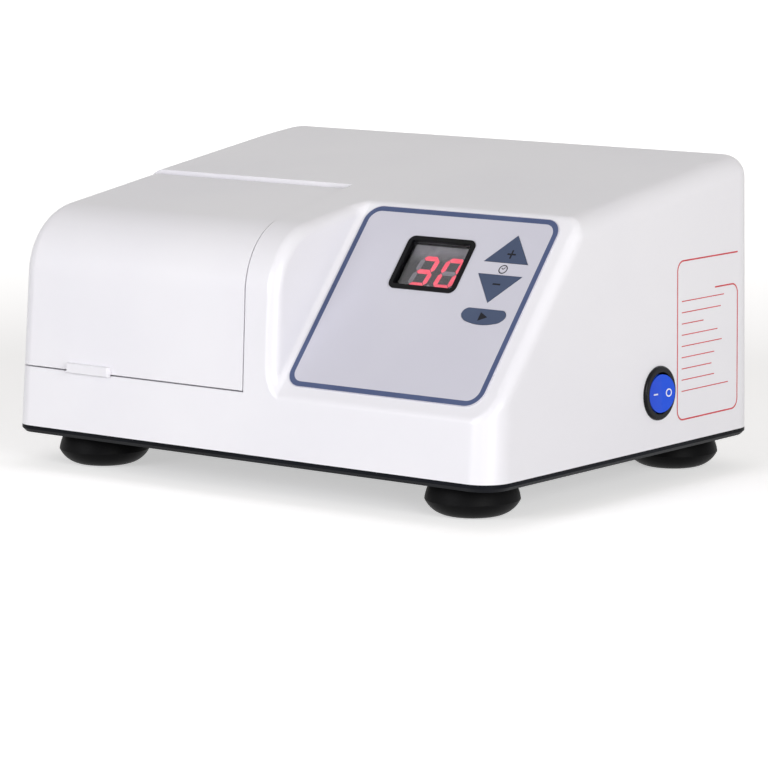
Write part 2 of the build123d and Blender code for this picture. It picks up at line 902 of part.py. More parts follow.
with BuildPart() as lid_magnet:
    with BuildSketch(Plane.XZ.offset(-magnet_face_y)):
        with Locations((magnet_x, magnet_z)):
            Circle(magnet_radius)
    extrude(amount=magnet_thick)
finish(lid_magnet, "lid_magnet")

# ================================================================ panel overlay and keys
with BuildPart() as panel_overlay:
    with BuildSketch(panel_plane):
        with Locations(label_centre):
            RectangleRounded(label_width, label_height, label_corner)
        with Locations(display_centre):
            RectangleRounded(display_width, display_height, display_corner, mode=Mode.SUBTRACT)
    extrude(amount=label_thick)
    with BuildSketch(panel_plane):
        for key_name in key_places:
            key_outline(key_name, key_gap)
    extrude(amount=label_thick, mode=Mode.SUBTRACT)
finish(panel_overlay, "panel_overlay")

board_top = -wall - board_depth
stem_tip = board_top + switch_height + key_travel + key_rest_gap
for key_name, place in key_places.items():
    with BuildPart() as key:
        with BuildSketch(panel_plane.offset(-wall * 0.4 + key_travel)):
            key_outline(key_name, -1.4)
        extrude(amount=wall * 0.4)
        with BuildSketch(panel_plane.offset(key_travel)):
            key_outline(key_name, 0)
        extrude(amount=label_thick + key_proud - key_travel)
        with BuildSketch(panel_plane.offset(stem_tip)):
            with Locations(place):
                Circle(key_stem_radius)
        extrude(amount=-stem_tip)
    finish(key, key_name)

with BuildPart() as tact_switches:
    with BuildSketch(panel_plane.offset(board_top)):
        with Locations(*key_places.values()):
            Rectangle(switch_size, switch_size)
    extrude(amount=switch_height)
finish(tact_switches, "tact_switches")

# ================================================================ display
with BuildPart() as display_bezel:
    with BuildSketch(panel_plane):
        with Locations(display_centre):
            RectangleRounded(display_width, display_height, display_corner)
            RectangleRounded(window_width - 1.6, window_height - 1.6, 0.6, mode=Mode.SUBTRACT)
    extrude(amount=label_thick + display_frame_proud)
    with BuildSketch(panel_plane.offset(-wall)):
        with Locations(display_centre):
            RectangleRounded(window_width, window_height, 1.0)
            RectangleRounded(window_width - 1.6, window_height - 1.6, 0.6, mode=Mode.SUBTRACT)
    extrude(amount=wall)
finish(display_bezel, "display_bezel")

with BuildPart() as display_window:
    with BuildSketch(panel_plane.offset(-window_sink - window_thick)):
        with Locations(display_centre):
            RectangleRounded(window_width - 1.6, window_height - 1.6, 0.6)
    extrude(amount=window_thick)
finish(display_window, "display_window")

module_top = -wall - module_gap
module_width = window_width + 0.4
module_height = window_height + 0.4
module_thick = module_top - board_top
with BuildPart() as display_module:
    with BuildSketch(panel_plane.offset(board_top)):
        with Locations(display_centre):
            Rectangle(module_width, module_height)
    extrude(amount=module_thick)
finish(display_module, "display_module")

node_x = (digit_width - segment_width) / 2
node_t = (digit_height - segment_width) / 2
bar_ends = {
    "a": ((-node_x, node_t), (node_x, node_t)),
    "b": ((node_x, 0), (node_x, node_t)),
    "c": ((node_x, -node_t), (node_x, 0)),
    "d": ((-node_x, -node_t), (node_x, -node_t)),
    "e": ((-node_x, -node_t), (-node_x, 0)),
    "f": ((-node_x, 0), (-node_x, node_t)),
    "g": ((-node_x, 0), (node_x, 0)),
}
digit_middle = display_centre[1] - digit_drop
digits_x = display_centre[0] + digit_shift
digit_xs = (digits_x - digit_pitch / 2, digits_x + digit_pitch / 2)
point_rise = digit_middle - digit_height / 2 + point_radius
point_x = digit_xs[0] + digit_pitch / 2 - digit_lean * digit_height / 2
lit_bars = ("abgcd", "abcdef")
dark_bars = tuple("".join(c for c in "abcdefg" if c not in lit) for lit in lit_bars)


def bar(centre_x, start, end):
    """Draw one pointed bar of a digit, leaning a little to the right."""
    half = segment_width / 2
    tip = segment_gap
    shoulder = segment_gap + half
    (x1, t1), (x2, t2) = start, end
    along_x = x2 > x1
    corners = []
    for place, rise in ((tip, 0), (shoulder, half)):
        corners.append((x1 + place, t1 + rise) if along_x else (x1 + rise, t1 + place))
    for place, rise in ((shoulder, half), (tip, 0), (shoulder, -half)):
        corners.append((x2 - place, t2 + rise) if along_x else (x2 + rise, t2 - place))
    corners.append((x1 + shoulder, t1 - half) if along_x else (x1 - half, t1 + shoulder))
    leaning = [(centre_x + x + digit_lean * t, digit_middle + t) for x, t in corners]
    with BuildLine() as outline:
        Polyline(*leaning, close=True)
    make_face(outline.edges())


def segments(letters_by_digit):
    """Draw the named bars of both digits."""
    for digit_x, letters in zip(digit_xs, letters_by_digit):
        for letter in letters:
            bar(digit_x, *bar_ends[letter])


with BuildPart() as lit_segments:
    with BuildSketch(panel_plane.offset(module_top)):
        segments(lit_bars)
    extrude(amount=segment_proud)
finish(lit_segments, "lit_segments")

with BuildPart() as dark_segments:
    with BuildSketch(panel_plane.offset(module_top)):
        segments(dark_bars)
        with Locations((point_x, point_rise)):
            Circle(point_radius)
    extrude(amount=segment_proud)
finish(dark_segments, "dark_segments")

# ================================================================ control board
board_width = 84.0
board_height = 62.0
board_centre = (label_centre[0] + 4.0, 60.0)
board_corner_x = board_width / 2 - 5.0
board_corner_y = board_height / 2 - 4.0
board_corners = [
    (board_centre[0] + sx * board_corner_x, board_centre[1] + sy * board_corner_y)
    for sx in (-1, 1)
    for sy in (-1, 1)
]
with BuildPart() as control_board:
    with BuildSketch(panel_plane.offset(board_top)):
        with Locations(board_centre):
            Rectangle(board_width, board_height)
        with Locations(*board_corners):
            Circle(m3_radius + screw_clearance, mode=Mode.SUBTRACT)
    extrude(amount=-board_thick)
finish(control_board, "control_board")

with BuildPart() as board_standoffs:
    with BuildSketch(panel_plane.offset(board_top)):
        with Locations(*board_corners):
            Circle(standoff_radius)
    extrude(amount=board_depth)
    with BuildSketch(panel_plane.offset(board_top)):
        with Locations(*board_corners):
            Circle(m3_radius)
    extrude(amount=board_depth - 2, mode=Mode.SUBTRACT)
finish(board_standoffs, "board_standoffs")

board_back = board_top - board_thick
with BuildPart() as board_screws:
    with BuildSketch(panel_plane.offset(board_back)):
        with Locations(*board_corners):
            Circle(2.6)
    extrude(amount=-screw_head_height)
    with BuildSketch(panel_plane.offset(board_back)):
        with Locations(*board_corners):
            Circle(m3_radius)
    extrude(amount=board_thick + 7)
finish(board_screws, "board_screws")

chip_width = 18.0
chip_height = 8.0
with BuildPart() as control_chips:
    with BuildSketch(panel_plane.offset(board_back)):
        with Locations((board_centre[0], board_centre[1] + 8)):
            Rectangle(chip_width, chip_height)
        with Locations((board_centre[0] - 22, board_centre[1] - 12)):
            Rectangle(chip_height, chip_height)
        with Locations((board_centre[0] + 16, board_centre[1] - 12)):
            Rectangle(chip_width, chip_height / 2)
    extrude(amount=-3.4)
finish(control_chips, "control_chips")

# ================================================================ rocker switch
tilt_rad = radians(rocker_tilt)
pivot_reach = rocker_body_radius - 0.3
pivot_plane = Plane(
    origin=rocker_plane.from_local_coords((0, 0, -pivot_depth)),
    x_dir=rocker_plane.x_dir,
    z_dir=rocker_plane.y_dir,
)
rocker_rest = Plane(
    origin=pivot_plane.origin,
    x_dir=rocker_plane.x_dir * cos(tilt_rad) + rocker_plane.z_dir * sin(tilt_rad),
    z_dir=rocker_plane.y_dir,
)
with BuildPart() as rocker_housing:
    with BuildSketch(rocker_plane):
        Circle(bezel_radius)
    extrude(amount=bezel_proud)
    fillet(rocker_housing.faces().sort_by(Axis.X)[-1].edges(), radius=bezel_round)
    with BuildSketch(rocker_plane):
        Circle(rocker_body_radius)
    extrude(amount=-rocker_body_depth)
    with BuildSketch(rocker_plane.offset(bezel_proud)):
        Circle(rocker_bore)
    extrude(amount=-bezel_proud - pivot_depth - rocker_depth, mode=Mode.SUBTRACT)
    # blind bores for the rocker's pivot, above and below
    with BuildSketch(pivot_plane.offset(-pivot_reach)):
        Circle(pivot_radius + running_gap)
    extrude(amount=2 * pivot_reach, mode=Mode.SUBTRACT)
finish(rocker_housing, "rocker_housing")

wing_rise = rocker_radius * tan(radians(rocker_valley))
rocker_face = pivot_depth + rocker_proud
with BuildPart() as rocker:
    # pivot axis stands upright; the two wings meet in a shallow valley
    with BuildSketch(rocker_rest.offset(-rocker_radius)):
        with BuildLine():
            Polyline(
                (-rocker_radius, -rocker_face - wing_rise),
                (0, -rocker_face),
                (rocker_radius, -rocker_face - wing_rise),
                (rocker_radius * 0.62, rocker_depth * 0.5),
                (-rocker_radius * 0.62, rocker_depth * 0.5),
                close=True,
            )
        make_face()
    extrude(amount=2 * rocker_radius)
    round_plane = Plane(
        origin=rocker_rest.origin, x_dir=rocker_rest.z_dir, z_dir=rocker_rest.y_dir
    )
    with BuildSketch(round_plane.offset(-rocker_depth - 10)):
        Circle(rocker_radius)
    extrude(amount=2 * rocker_depth + 20, mode=Mode.INTERSECT)
    with BuildSketch(rocker_rest.offset(-pivot_reach + 0.3)):
        Circle(pivot_radius)
    extrude(amount=2 * pivot_reach - 0.6)
finish(rocker, "rocker")

with BuildPart() as rocker_terminals:
    with BuildSketch(rocker_plane.offset(-rocker_body_depth)):
        with Locations((-5.0, 0), (0, 0), (5.0, 0)):
            Rectangle(0.8, 4.8)
    extrude(amount=-8.0)
finish(rocker_terminals, "rocker_terminals")

# ================================================================ mains inlet
socket_drop = -inlet_body_height / 2 + 1.5 + socket_height / 2
drawer_rise = inlet_body_height / 2 - 1.5 - drawer_height / 2
with BuildPart() as mains_inlet:
    with BuildSketch(inlet_plane):
        RectangleRounded(inlet_flange_width, inlet_flange_height, 3.0)
        with Locations((-inlet_screw_x, 0), (inlet_screw_x, 0)):
            Circle(m3_radius + screw_clearance, mode=Mode.SUBTRACT)
    extrude(amount=inlet_flange_thick)
    with BuildSketch(inlet_plane):
        Rectangle(inlet_body_width, inlet_body_height)
    extrude(amount=-inlet_depth)
    with BuildSketch(inlet_plane.offset(inlet_flange_thick)):
        with Locations((0, socket_drop)):
            Rectangle(socket_width, socket_height)
            chamfer(vertices().group_by(Axis.Y)[-1], length=4.0)
    extrude(amount=-socket_depth, mode=Mode.SUBTRACT)
    with BuildSketch(inlet_plane.offset(inlet_flange_thick)):
        with Locations((0, drawer_rise)):
            Rectangle(drawer_width + 2 * drawer_gap, drawer_height + 2 * drawer_gap)
    extrude(amount=-inlet_flange_thick - drawer_depth - drawer_gap, mode=Mode.SUBTRACT)
finish(mains_inlet, "mains_inlet")

pin_floor = inlet_flange_thick - socket_depth
with BuildPart() as inlet_pins:
    with BuildSketch(inlet_plane.offset(pin_floor)):
        with Locations((-pin_pitch, socket_drop - 2), (pin_pitch, socket_drop - 2), (0, socket_drop + 2)):
            Rectangle(pin_width, pin_height)
    extrude(amount=pin_length)
    with BuildSketch(inlet_plane.offset(-inlet_depth)):
        with Locations((-pin_pitch, socket_drop - 2), (pin_pitch, socket_drop - 2), (0, socket_drop + 2)):
            Rectangle(0.8, pin_height)
    extrude(amount=-7.0)
finish(inlet_pins, "inlet_pins")

with BuildPart() as inlet_screws:
    with BuildSketch(inlet_plane.offset(inlet_flange_thick)):
        with Locations((-inlet_screw_x, 0), (inlet_screw_x, 0)):
            Circle(2.8)
    extrude(amount=0.4)
    with BuildSketch(inlet_plane.offset(inlet_flange_thick)):
        with Locations((-inlet_screw_x, 0), (inlet_screw_x, 0)):
            Circle(m3_radius)
    extrude(amount=-inlet_flange_thick - wall - 2)
finish(inlet_screws, "inlet_screws")

with BuildPart() as fuse_drawer:
    with BuildSketch(inlet_plane.offset(inlet_flange_thick + drawer_proud)):
        with Locations((0, drawer_rise)):
            Rectangle(drawer_width, drawer_height)
    extrude(amount=-inlet_flange_thick - drawer_proud - drawer_depth)
    with BuildSketch(inlet_plane.offset(-1.0)):
        with Locations((0, drawer_rise + 1.0)):
            Rectangle(fuse_length + 1.0, drawer_height)
    extrude(amount=-2 * fuse_radius - 1.0, mode=Mode.SUBTRACT)
finish(fuse_drawer, "fuse_drawer")

with BuildPart() as fuse:
    fuse_low = drawer_rise + 1.0 - drawer_height / 2 + fuse_radius
    fuse_axis = inlet_plane.offset(-1.5 - fuse_radius)
    fuse_line = Plane(
        origin=fuse_axis.from_local_coords((-fuse_length / 2, fuse_low, 0)),
        x_dir=(0, 0, 1),
        z_dir=(-1, 0, 0),
    )
    with BuildSketch(fuse_line):
        Circle(fuse_radius)
    extrude(amount=fuse_length)
finish(fuse, "fuse")

# ================================================================ motor
stator_end = motor_front_y + stator_length
rear_bell_end = stator_end + rear_bell_depth
seat_y = break_y - 2.0
with BuildPart() as motor_stator:
    with BuildSketch(across_motor(motor_front_y)):
        Circle(stator_radius)
        Circle(stator_bore, mode=Mode.SUBTRACT)
        with Locations((-19.0, 0), (19.0, 0)):
            Rectangle(8.0, 18.0, mode=Mode.SUBTRACT)
    extrude(amount=stator_length)
finish(motor_stator, "motor_stator")

coil_overhang = 5.0
with BuildPart() as field_coils:
    with BuildSketch(across_motor(motor_front_y - coil_overhang)):
        with Locations((-19.6, 0), (19.6, 0)):
            Rectangle(6.4, 17.4)
    extrude(amount=stator_length + 2 * coil_overhang)
    fillet(field_coils.edges().filter_by(Axis.Y), radius=1.5)
finish(field_coils, "field_coils")

with BuildPart() as motor_front_bell:
    with BuildSketch(across_motor(motor_front_y - front_bell_depth)):
        Circle(motor_radius)
    extrude(amount=front_bell_depth)
    with BuildSketch(across_motor(motor_front_y - front_bell_depth + bell_wall)):
        Circle(motor_radius - bell_wall)
    extrude(amount=front_bell_depth, mode=Mode.SUBTRACT)
    with BuildSketch(across_motor(seat_y)):
        Circle(boss_outer)
    extrude(amount=motor_front_y - front_bell_depth + bell_wall - seat_y)
    with BuildSketch(across_motor(seat_y - 1)):
        Circle(bush_outer)
    extrude(amount=front_bell_depth + 12, mode=Mode.SUBTRACT)
    with BuildSketch(across_motor(motor_front_y - front_bell_depth)):
        with PolarLocations(18.0, 4, start_angle=45):
            Circle(m3_radius)
    extrude(amount=bell_wall + 1, mode=Mode.SUBTRACT)
finish(motor_front_bell, "motor_front_bell")

brush_y = stator_end + 5.0
brush_thick = 4.0
brush_deep = 5.0
brush_length = 13.0
commutator_radius = 8.0
brush_gap = 0.1
with BuildPart() as motor_rear_bell:
    with BuildSketch(across_motor(stator_end)):
        Circle(motor_radius)
    extrude(amount=rear_bell_depth)
    with BuildSketch(across_motor(stator_end)):
        Circle(motor_radius - bell_wall)
    extrude(amount=rear_bell_depth - bell_wall, mode=Mode.SUBTRACT)
    # guides for the two carbon brushes, above and below the commutator
    guide_low = commutator_radius + 2.0
    for side in (-1, 1):
        with BuildSketch(Plane.XY.offset(motor_z + side * guide_low)):
            with Locations((motor_x, brush_y)):
                Rectangle(brush_thick + 3.0, brush_deep + 3.0)
        extrude(amount=side * (motor_radius - bell_wall / 2 - guide_low))
        with BuildSketch(Plane.XY.offset(motor_z + side * guide_low)):
            with Locations((motor_x, brush_y)):
                Rectangle(brush_thick + 0.1, brush_deep + 0.1)
        extrude(amount=side * (brush_length + 0.5), mode=Mode.SUBTRACT)
    with BuildSketch(across_motor(rear_bell_end - bell_wall - 1.5)):
        Circle(boss_outer)
    extrude(amount=bell_wall + 4.0)
    with BuildSketch(across_motor(rear_bell_end - bell_wall - 2.0)):
        Circle(bush_outer)
    extrude(amount=bell_wall + 6.0, mode=Mode.SUBTRACT)
    with BuildSketch(across_motor(rear_bell_end - bell_wall - 1)):
        with PolarLocations(18.0, 8):
            Circle(2.6)
    extrude(amount=bell_wall + 2, mode=Mode.SUBTRACT)
finish(motor_rear_bell, "motor_rear_bell")

with BuildPart() as carbon_brushes:
    for side in (-1, 1):
        with BuildSketch(Plane.XY.offset(motor_z + side * (commutator_radius + brush_gap))):
            with Locations((motor_x, brush_y)):
                Rectangle(brush_thick, brush_deep)
        extrude(amount=side * brush_length)
finish(carbon_brushes, "carbon_brushes")

front_bush_length = 9.0
rear_bush_length = 6.0
rear_bush_y = rear_bell_end - bell_wall - 1.5
with BuildPart() as front_bush:
    with BuildSketch(across_motor(seat_y)):
        Circle(bush_outer)
        Circle(shaft_radius + running_gap, mode=Mode.SUBTRACT)
    extrude(amount=front_bush_length)
finish(front_bush, "front_bush")

with BuildPart() as rear_bush:
    with BuildSketch(across_motor(rear_bush_y)):
        Circle(bush_outer)
        Circle(shaft_radius + running_gap, mode=Mode.SUBTRACT)
    extrude(amount=rear_bush_length - 0.5)
finish(rear_bush, "rear_bush")

shaft_front = head_y - 6.0
fan_y = rear_bush_y + rear_bush_length + 2.0
shaft_rear = fan_y + fan_thick + 1.0
with BuildPart() as motor_shaft:
    with BuildSketch(across_motor(shaft_front)):
        Circle(shaft_radius)
    extrude(amount=shaft_rear - shaft_front)
    chamfer(motor_shaft.edges().filter_by(GeomType.CIRCLE), length=0.4)
finish(motor_shaft, "motor_shaft")

armature_inset = 2.0
slot_count = 12
with BuildPart() as armature:
    with BuildSketch(across_motor(motor_front_y + armature_inset)):
        Circle(armature_radius)
        Circle(shaft_radius, mode=Mode.SUBTRACT)
        with PolarLocations(armature_radius, slot_count):
            Rectangle(4.0, 1.6, mode=Mode.SUBTRACT)
    extrude(amount=stator_length - 2 * armature_inset)
finish(armature, "armature")

with BuildPart() as commutator:
    with BuildSketch(across_motor(stator_end + 1.0)):
        Circle(commutator_radius)
        Circle(shaft_radius, mode=Mode.SUBTRACT)
    extrude(amount=8.0)
finish(commutator, "commutator")

blade_count = 9
with BuildPart() as cooling_fan:
    with BuildSketch(across_motor(fan_y)):
        Circle(fan_radius)
        Circle(shaft_radius, mode=Mode.SUBTRACT)
    extrude(amount=1.2)
    with BuildSketch(across_motor(fan_y)):
        Circle(6.0)
        Circle(shaft_radius, mode=Mode.SUBTRACT)
    extrude(amount=fan_thick)
    with BuildSketch(across_motor(fan_y)):
        with PolarLocations((fan_radius + 4.0) / 2, blade_count):
            Rectangle(fan_radius - 6.0, 1.2)
    extrude(amount=fan_thick)
finish(cooling_fan, "cooling_fan")

bracket_top_z = motor_z + motor_radius
with BuildPart() as motor_bracket:
    with BuildSketch(across_motor(bracket_front_y - bracket_thick)):
        Circle(motor_radius)
        with Locations((0, -(motor_z - plate_top) / 2)):
            Rectangle(bracket_width, motor_z - plate_top)
        Circle(boss_outer + 0.3, mode=Mode.SUBTRACT)
        with PolarLocations(18.0, 4, start_angle=45):
            Circle(m3_radius + screw_clearance, mode=Mode.SUBTRACT)
    extrude(amount=bracket_thick)
    with BuildSketch(Plane.XY.offset(plate_top)):
        with Locations((motor_x, (bracket_front_y - bracket_thick + bracket_rear_y) / 2)):
            Rectangle(bracket_width, bracket_rear_y - bracket_front_y + bracket_thick)
        with Locations(*bracket_screws):
            Circle(m3_radius, mode=Mode.SUBTRACT)
    extrude(amount=bracket_thick)
finish(motor_bracket, "motor_bracket")

# ================================================================ mixing head
with BuildPart() as skew_bush:
    with BuildSketch(across_motor(shaft_front + 1.0)):
        Circle(bush_outer)
    extrude(amount=14.0)
    with BuildSketch(head_plane.offset(-bearing_width / 2)):
        Circle(journal_radius)
    extrude(amount=bearing_width)
    with BuildSketch(head_plane.offset(-bearing_width / 2 - 1.5)):
        Circle(journal_radius + 1.2)
    extrude(amount=1.5)
    with BuildSketch(across_motor(shaft_front - 5)):
        Circle(shaft_radius)
    extrude(amount=40, mode=Mode.SUBTRACT)
finish(skew_bush, "skew_bush")

with BuildPart() as bearing_inner_ring:
    with BuildSketch(head_plane.offset(-bearing_width / 2)):
        Circle(inner_ring_radius)
        Circle(journal_radius, mode=Mode.SUBTRACT)
    extrude(amount=bearing_width)
finish(bearing_inner_ring, "bearing_inner_ring")

with BuildPart() as bearing_outer_ring:
    with BuildSketch(head_plane.offset(-bearing_width / 2)):
        Circle(outer_ring_radius)
        Circle(outer_ring_bore, mode=Mode.SUBTRACT)
    extrude(amount=bearing_width)
finish(bearing_outer_ring, "bearing_outer_ring")

ball_circle = (inner_ring_radius + outer_ring_bore) / 2
with BuildPart() as bearing_balls:
    with Locations(head_plane):
        with PolarLocations(ball_circle, ball_count):
            Sphere(ball_radius)
finish(bearing_balls, "bearing_balls")

with BuildPart() as mixing_arm:
    with BuildSketch(head_plane.offset(-arm_thick / 2)):
        Circle(arm_boss_radius)
        with Locations((0, arm_top / 2)):
            Rectangle(arm_width, arm_top)
        with Locations((0, -tail_bar_low / 2)):
            Rectangle(arm_width * 0.7, tail_bar_low)
        with Locations((0, -tail_bar_low + tail_bar_height / 2)):
            RectangleRounded(tail_bar_width, tail_bar_height, 1.5)
        Circle(outer_ring_radius, mode=Mode.SUBTRACT)
    extrude(amount=arm_thick)
finish(mixing_arm, "mixing_arm")

clip_centre = arm_top + 2 * clip_thick + capsule_radius
mouth_rad = radians(clip_mouth / 2)
with BuildPart() as capsule_clip:
    with BuildSketch(head_plane.offset(-clip_length / 2)):
        with Locations((0, clip_centre)):
            Circle(capsule_radius + clip_thick)
            Circle(capsule_radius, mode=Mode.SUBTRACT)
            Polygon(
                (0, 0),
                (2 * capsule_radius * sin(mouth_rad), 2 * capsule_radius * cos(mouth_rad)),
                (0, 3 * capsule_radius),
                (-2 * capsule_radius * sin(mouth_rad), 2 * capsule_radius * cos(mouth_rad)),
                align=None,
                mode=Mode.SUBTRACT,
            )
        with Locations((0, arm_top + clip_thick / 2)):
            Rectangle(arm_width, clip_thick)
        with Locations((0, arm_top + clip_thick)):
            Rectangle(arm_width * 0.5, clip_thick)
    extrude(amount=clip_length)
finish(capsule_clip, "capsule_clip")

tray_floor_top = tray_floor_z + tray_wall
bar_y = head_y + (tail_bar_low - tail_bar_height / 2) * sin(skew_rad)
bar_under_z = motor_z - tail_bar_low * cos(skew_rad) - arm_thick / 2 * sin(skew_rad)
spring_height = bar_under_z - tray_floor_top - spring_wire - 0.3
with BuildPart() as restraint_springs:
    for side in (-1, 1):
        spring_base = (motor_x + side * spring_x, bar_y, tray_floor_top + spring_wire)
        with BuildLine():
            coil = Helix(
                pitch=(spring_height - spring_wire) / spring_turns,
                height=spring_height - spring_wire,
                radius=spring_radius,
                center=spring_base,
            )
        with BuildSketch(Plane(origin=coil @ 0, z_dir=coil % 0)):
            Circle(spring_wire / 2)
        sweep(path=coil)
finish(restraint_springs, "restraint_springs")

# ================================================================ power parts
core_low = plate_top + bracket_thick * 0.6
foot_sheet = bracket_thick * 0.6
with BuildPart() as transformer_core:
    with BuildSketch(Plane.XZ.offset(-transformer_y - core_depth / 2)):
        with Locations((transformer_x, core_low + core_height / 2)):
            Rectangle(core_width, core_height)
            with Locations((-core_width / 4 + core_limb / 4, 0), (core_width / 4 - core_limb / 4, 0)):
                Rectangle(
                    core_width / 2 - 1.5 * core_limb, core_height - 2 * core_limb, mode=Mode.SUBTRACT
                )
    extrude(amount=core_depth)
    # sheet foot under the core
    with BuildSketch(Plane.XY.offset(plate_top)):
        with Locations((transformer_x, transformer_y)):
            Rectangle(core_width + 22.0, core_depth)
        with Locations(*transformer_screws):
            Circle(m3_radius, mode=Mode.SUBTRACT)
    extrude(amount=foot_sheet)
finish(transformer_core, "transformer_core")

limb_width = core_limb
window_w = core_width / 2 - 1.5 * core_limb
with BuildPart() as transformer_winding:
    with BuildSketch(Plane.XY.offset(core_low + core_limb + 0.3)):
        with Locations((transformer_x, transformer_y)):
            Rectangle(limb_width + 2 * window_w - 0.8, core_depth + 2 * winding_overhang)
            Rectangle(limb_width + 0.4, core_depth + 0.4, mode=Mode.SUBTRACT)
    extrude(amount=core_height - 2 * core_limb - 0.6)
    fillet(transformer_winding.edges().filter_by(Axis.Z).group_by(Axis.Y)[0], radius=2.0)
    fillet(transformer_winding.edges().filter_by(Axis.Z).group_by(Axis.Y)[-1], radius=2.0)
finish(transformer_winding, "transformer_winding")

board_low = plate_top + power_board_rise
with BuildPart() as power_board:
    with BuildSketch(Plane.XY.offset(board_low)):
        with Locations((power_board_x, power_board_y)):
            Rectangle(power_board_width, power_board_depth)
        with Locations(*board_screw_places):
            Circle(m3_radius, mode=Mode.SUBTRACT)
    extrude(amount=board_thick)
    with BuildSketch(Plane.XY.offset(plate_top)):
        with Locations(*board_screw_places):
            Circle(standoff_radius)
            Circle(m3_radius, mode=Mode.SUBTRACT)
    extrude(amount=power_board_rise)
finish(power_board, "power_board")

relay_height = 15.0
with BuildPart() as power_board_parts:
    with BuildSketch(Plane.XY.offset(board_low + board_thick)):
        with Locations((power_board_x - 16, power_board_y)):
            Rectangle(19.0, 15.5)
    extrude(amount=relay_height)
    with BuildSketch(Plane.XY.offset(board_low + board_thick)):
        with Locations((power_board_x + 4, power_board_y - 8)):
            Circle(5.0)
        with Locations((power_board_x + 4, power_board_y + 8)):
            Circle(4.0)
    extrude(amount=12.0)
    with BuildSketch(Plane.XY.offset(board_low + board_thick)):
        with Locations((power_board_x + 18, power_board_y)):
            Rectangle(8.0, 24.0)
    extrude(amount=9.0)
finish(power_board_parts, "power_board_parts")

# chassis screws: bracket, transformer and board to the base plate, motor to bracket
screw_tops = (
    [(place, plate_top + bracket_thick) for place in bracket_screws]
    + [(place, plate_top + foot_sheet) for place in transformer_screws]
    + [(place, board_low + board_thick) for place in board_screw_places]
)
with BuildPart() as chassis_screws:
    for place, top_z in screw_tops:
        with BuildSketch(Plane.XY.offset(top_z)):
            with Locations(place):
                Circle(2.8)
        extrude(amount=screw_head_height)
        with BuildSketch(Plane.XY.offset(foot_height)):
            with Locations(place):
                Circle(m3_radius)
        extrude(amount=top_z - foot_height)
    with BuildSketch(across_motor(bracket_front_y - bracket_thick)):
        with PolarLocations(18.0, 4, start_angle=45):
            Circle(2.8)
    extrude(amount=-1.6)
    with BuildSketch(across_motor(bracket_front_y - bracket_thick)):
        with PolarLocations(18.0, 4, start_angle=45):
            Circle(m3_radius)
    extrude(amount=bracket_thick + bell_wall)
finish(chassis_screws, "chassis_screws")
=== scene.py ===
import json
import logging
import math
from dataclasses import dataclass
from enum import Enum

import bmesh
import bpy
import numpy as np
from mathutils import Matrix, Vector


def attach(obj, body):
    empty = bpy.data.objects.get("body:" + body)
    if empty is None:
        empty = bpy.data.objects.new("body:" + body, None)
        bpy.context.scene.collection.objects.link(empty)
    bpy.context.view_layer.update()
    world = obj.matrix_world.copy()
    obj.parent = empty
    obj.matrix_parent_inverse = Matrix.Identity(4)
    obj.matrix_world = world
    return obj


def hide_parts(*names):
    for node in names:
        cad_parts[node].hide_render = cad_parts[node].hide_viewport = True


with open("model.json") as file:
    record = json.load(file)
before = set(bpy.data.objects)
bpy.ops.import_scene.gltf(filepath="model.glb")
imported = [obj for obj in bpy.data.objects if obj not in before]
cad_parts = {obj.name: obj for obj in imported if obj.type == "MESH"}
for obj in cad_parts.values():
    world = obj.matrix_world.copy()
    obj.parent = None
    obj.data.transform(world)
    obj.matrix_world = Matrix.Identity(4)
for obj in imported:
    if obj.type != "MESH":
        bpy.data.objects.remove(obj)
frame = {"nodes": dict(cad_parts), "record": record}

# A capsule mixer dressed around its CAD solids.  Sizes are in millimetres until a mesh is
# written; X points to the right, Y to the back, Z up, and the origin is on the table.

Tree = bpy.types.NodeTree
Socket = bpy.types.NodeSocket
Point = tuple[float, float, float]
Spot = tuple[float, float]

LOG = logging.getLogger("capsule_mixer")
MM = 0.001
WHITE = (1.0, 1.0, 1.0, 1.0)
# A wave texture at this scale shows one band for each cell.
BAND_SCALE = 0.314
# The middle part of the slow noise, which carries a colour right over to its shade.
DRIFT_RANGE = (0.35, 0.65)
# How much of the slow drift is left in a fading colour, and how much the fine pattern adds.
DRIFT_IN_FADE = 0.3
FINE_IN_COLOUR = 0.35
COAT_ROUGHNESS = 0.06
# Points nearer than this are one point, and shorter edges than the second are dropped (metres).
MERGE_DISTANCE = 1e-6
SLIVER_LENGTH = 1e-7
# Faces that turn by less than this many degrees belong to one flat region.
FLAT_ANGLE = 0.3
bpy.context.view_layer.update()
BODY_OF = {
    node: body
    for body, nodes in frame["record"]["behaviour"]["bodies"].items()
    for node in nodes
}


# ---------------------------------------------------------------- colours and nodes
def linear(code: str) -> tuple[float, float, float, float]:
    """Turn an sRGB hex colour into the linear colour that shaders use.

    Args:
        code: six hex digits, such as "e8e7ed".

    Returns:
        Linear red, green and blue with an alpha of one.
    """
    parts = [int(code[i : i + 2], 16) / 255 for i in (0, 2, 4)]
    lin = [p / 12.92 if p <= 0.04045 else ((p + 0.055) / 1.055) ** 2.4 for p in parts]
    return (*lin, 1.0)


def add_node(
    tree: Tree,
    kind: str,
    values: dict | None = None,
    links: dict | None = None,
    **settings: object,
) -> bpy.types.Node:
    """Add one shader node with its settings, its constant inputs and its links.

    Args:
        tree: the node tree that the node goes into.
        kind: the node's type name, without the leading "ShaderNode".
        values: constant inputs, by socket name or number.
        links: output sockets to join, by the name or number of this node's input.
        settings: attributes of the node itself.

    Returns:
        The new node.
    """
    node = tree.nodes.new("ShaderNode" + kind)
    for name, value in settings.items():
        setattr(node, name, value)
    for name, value in (values or {}).items():
        node.inputs[name].default_value = value
    for name, source in (links or {}).items():
        tree.links.new(source, node.inputs[name])
    return node


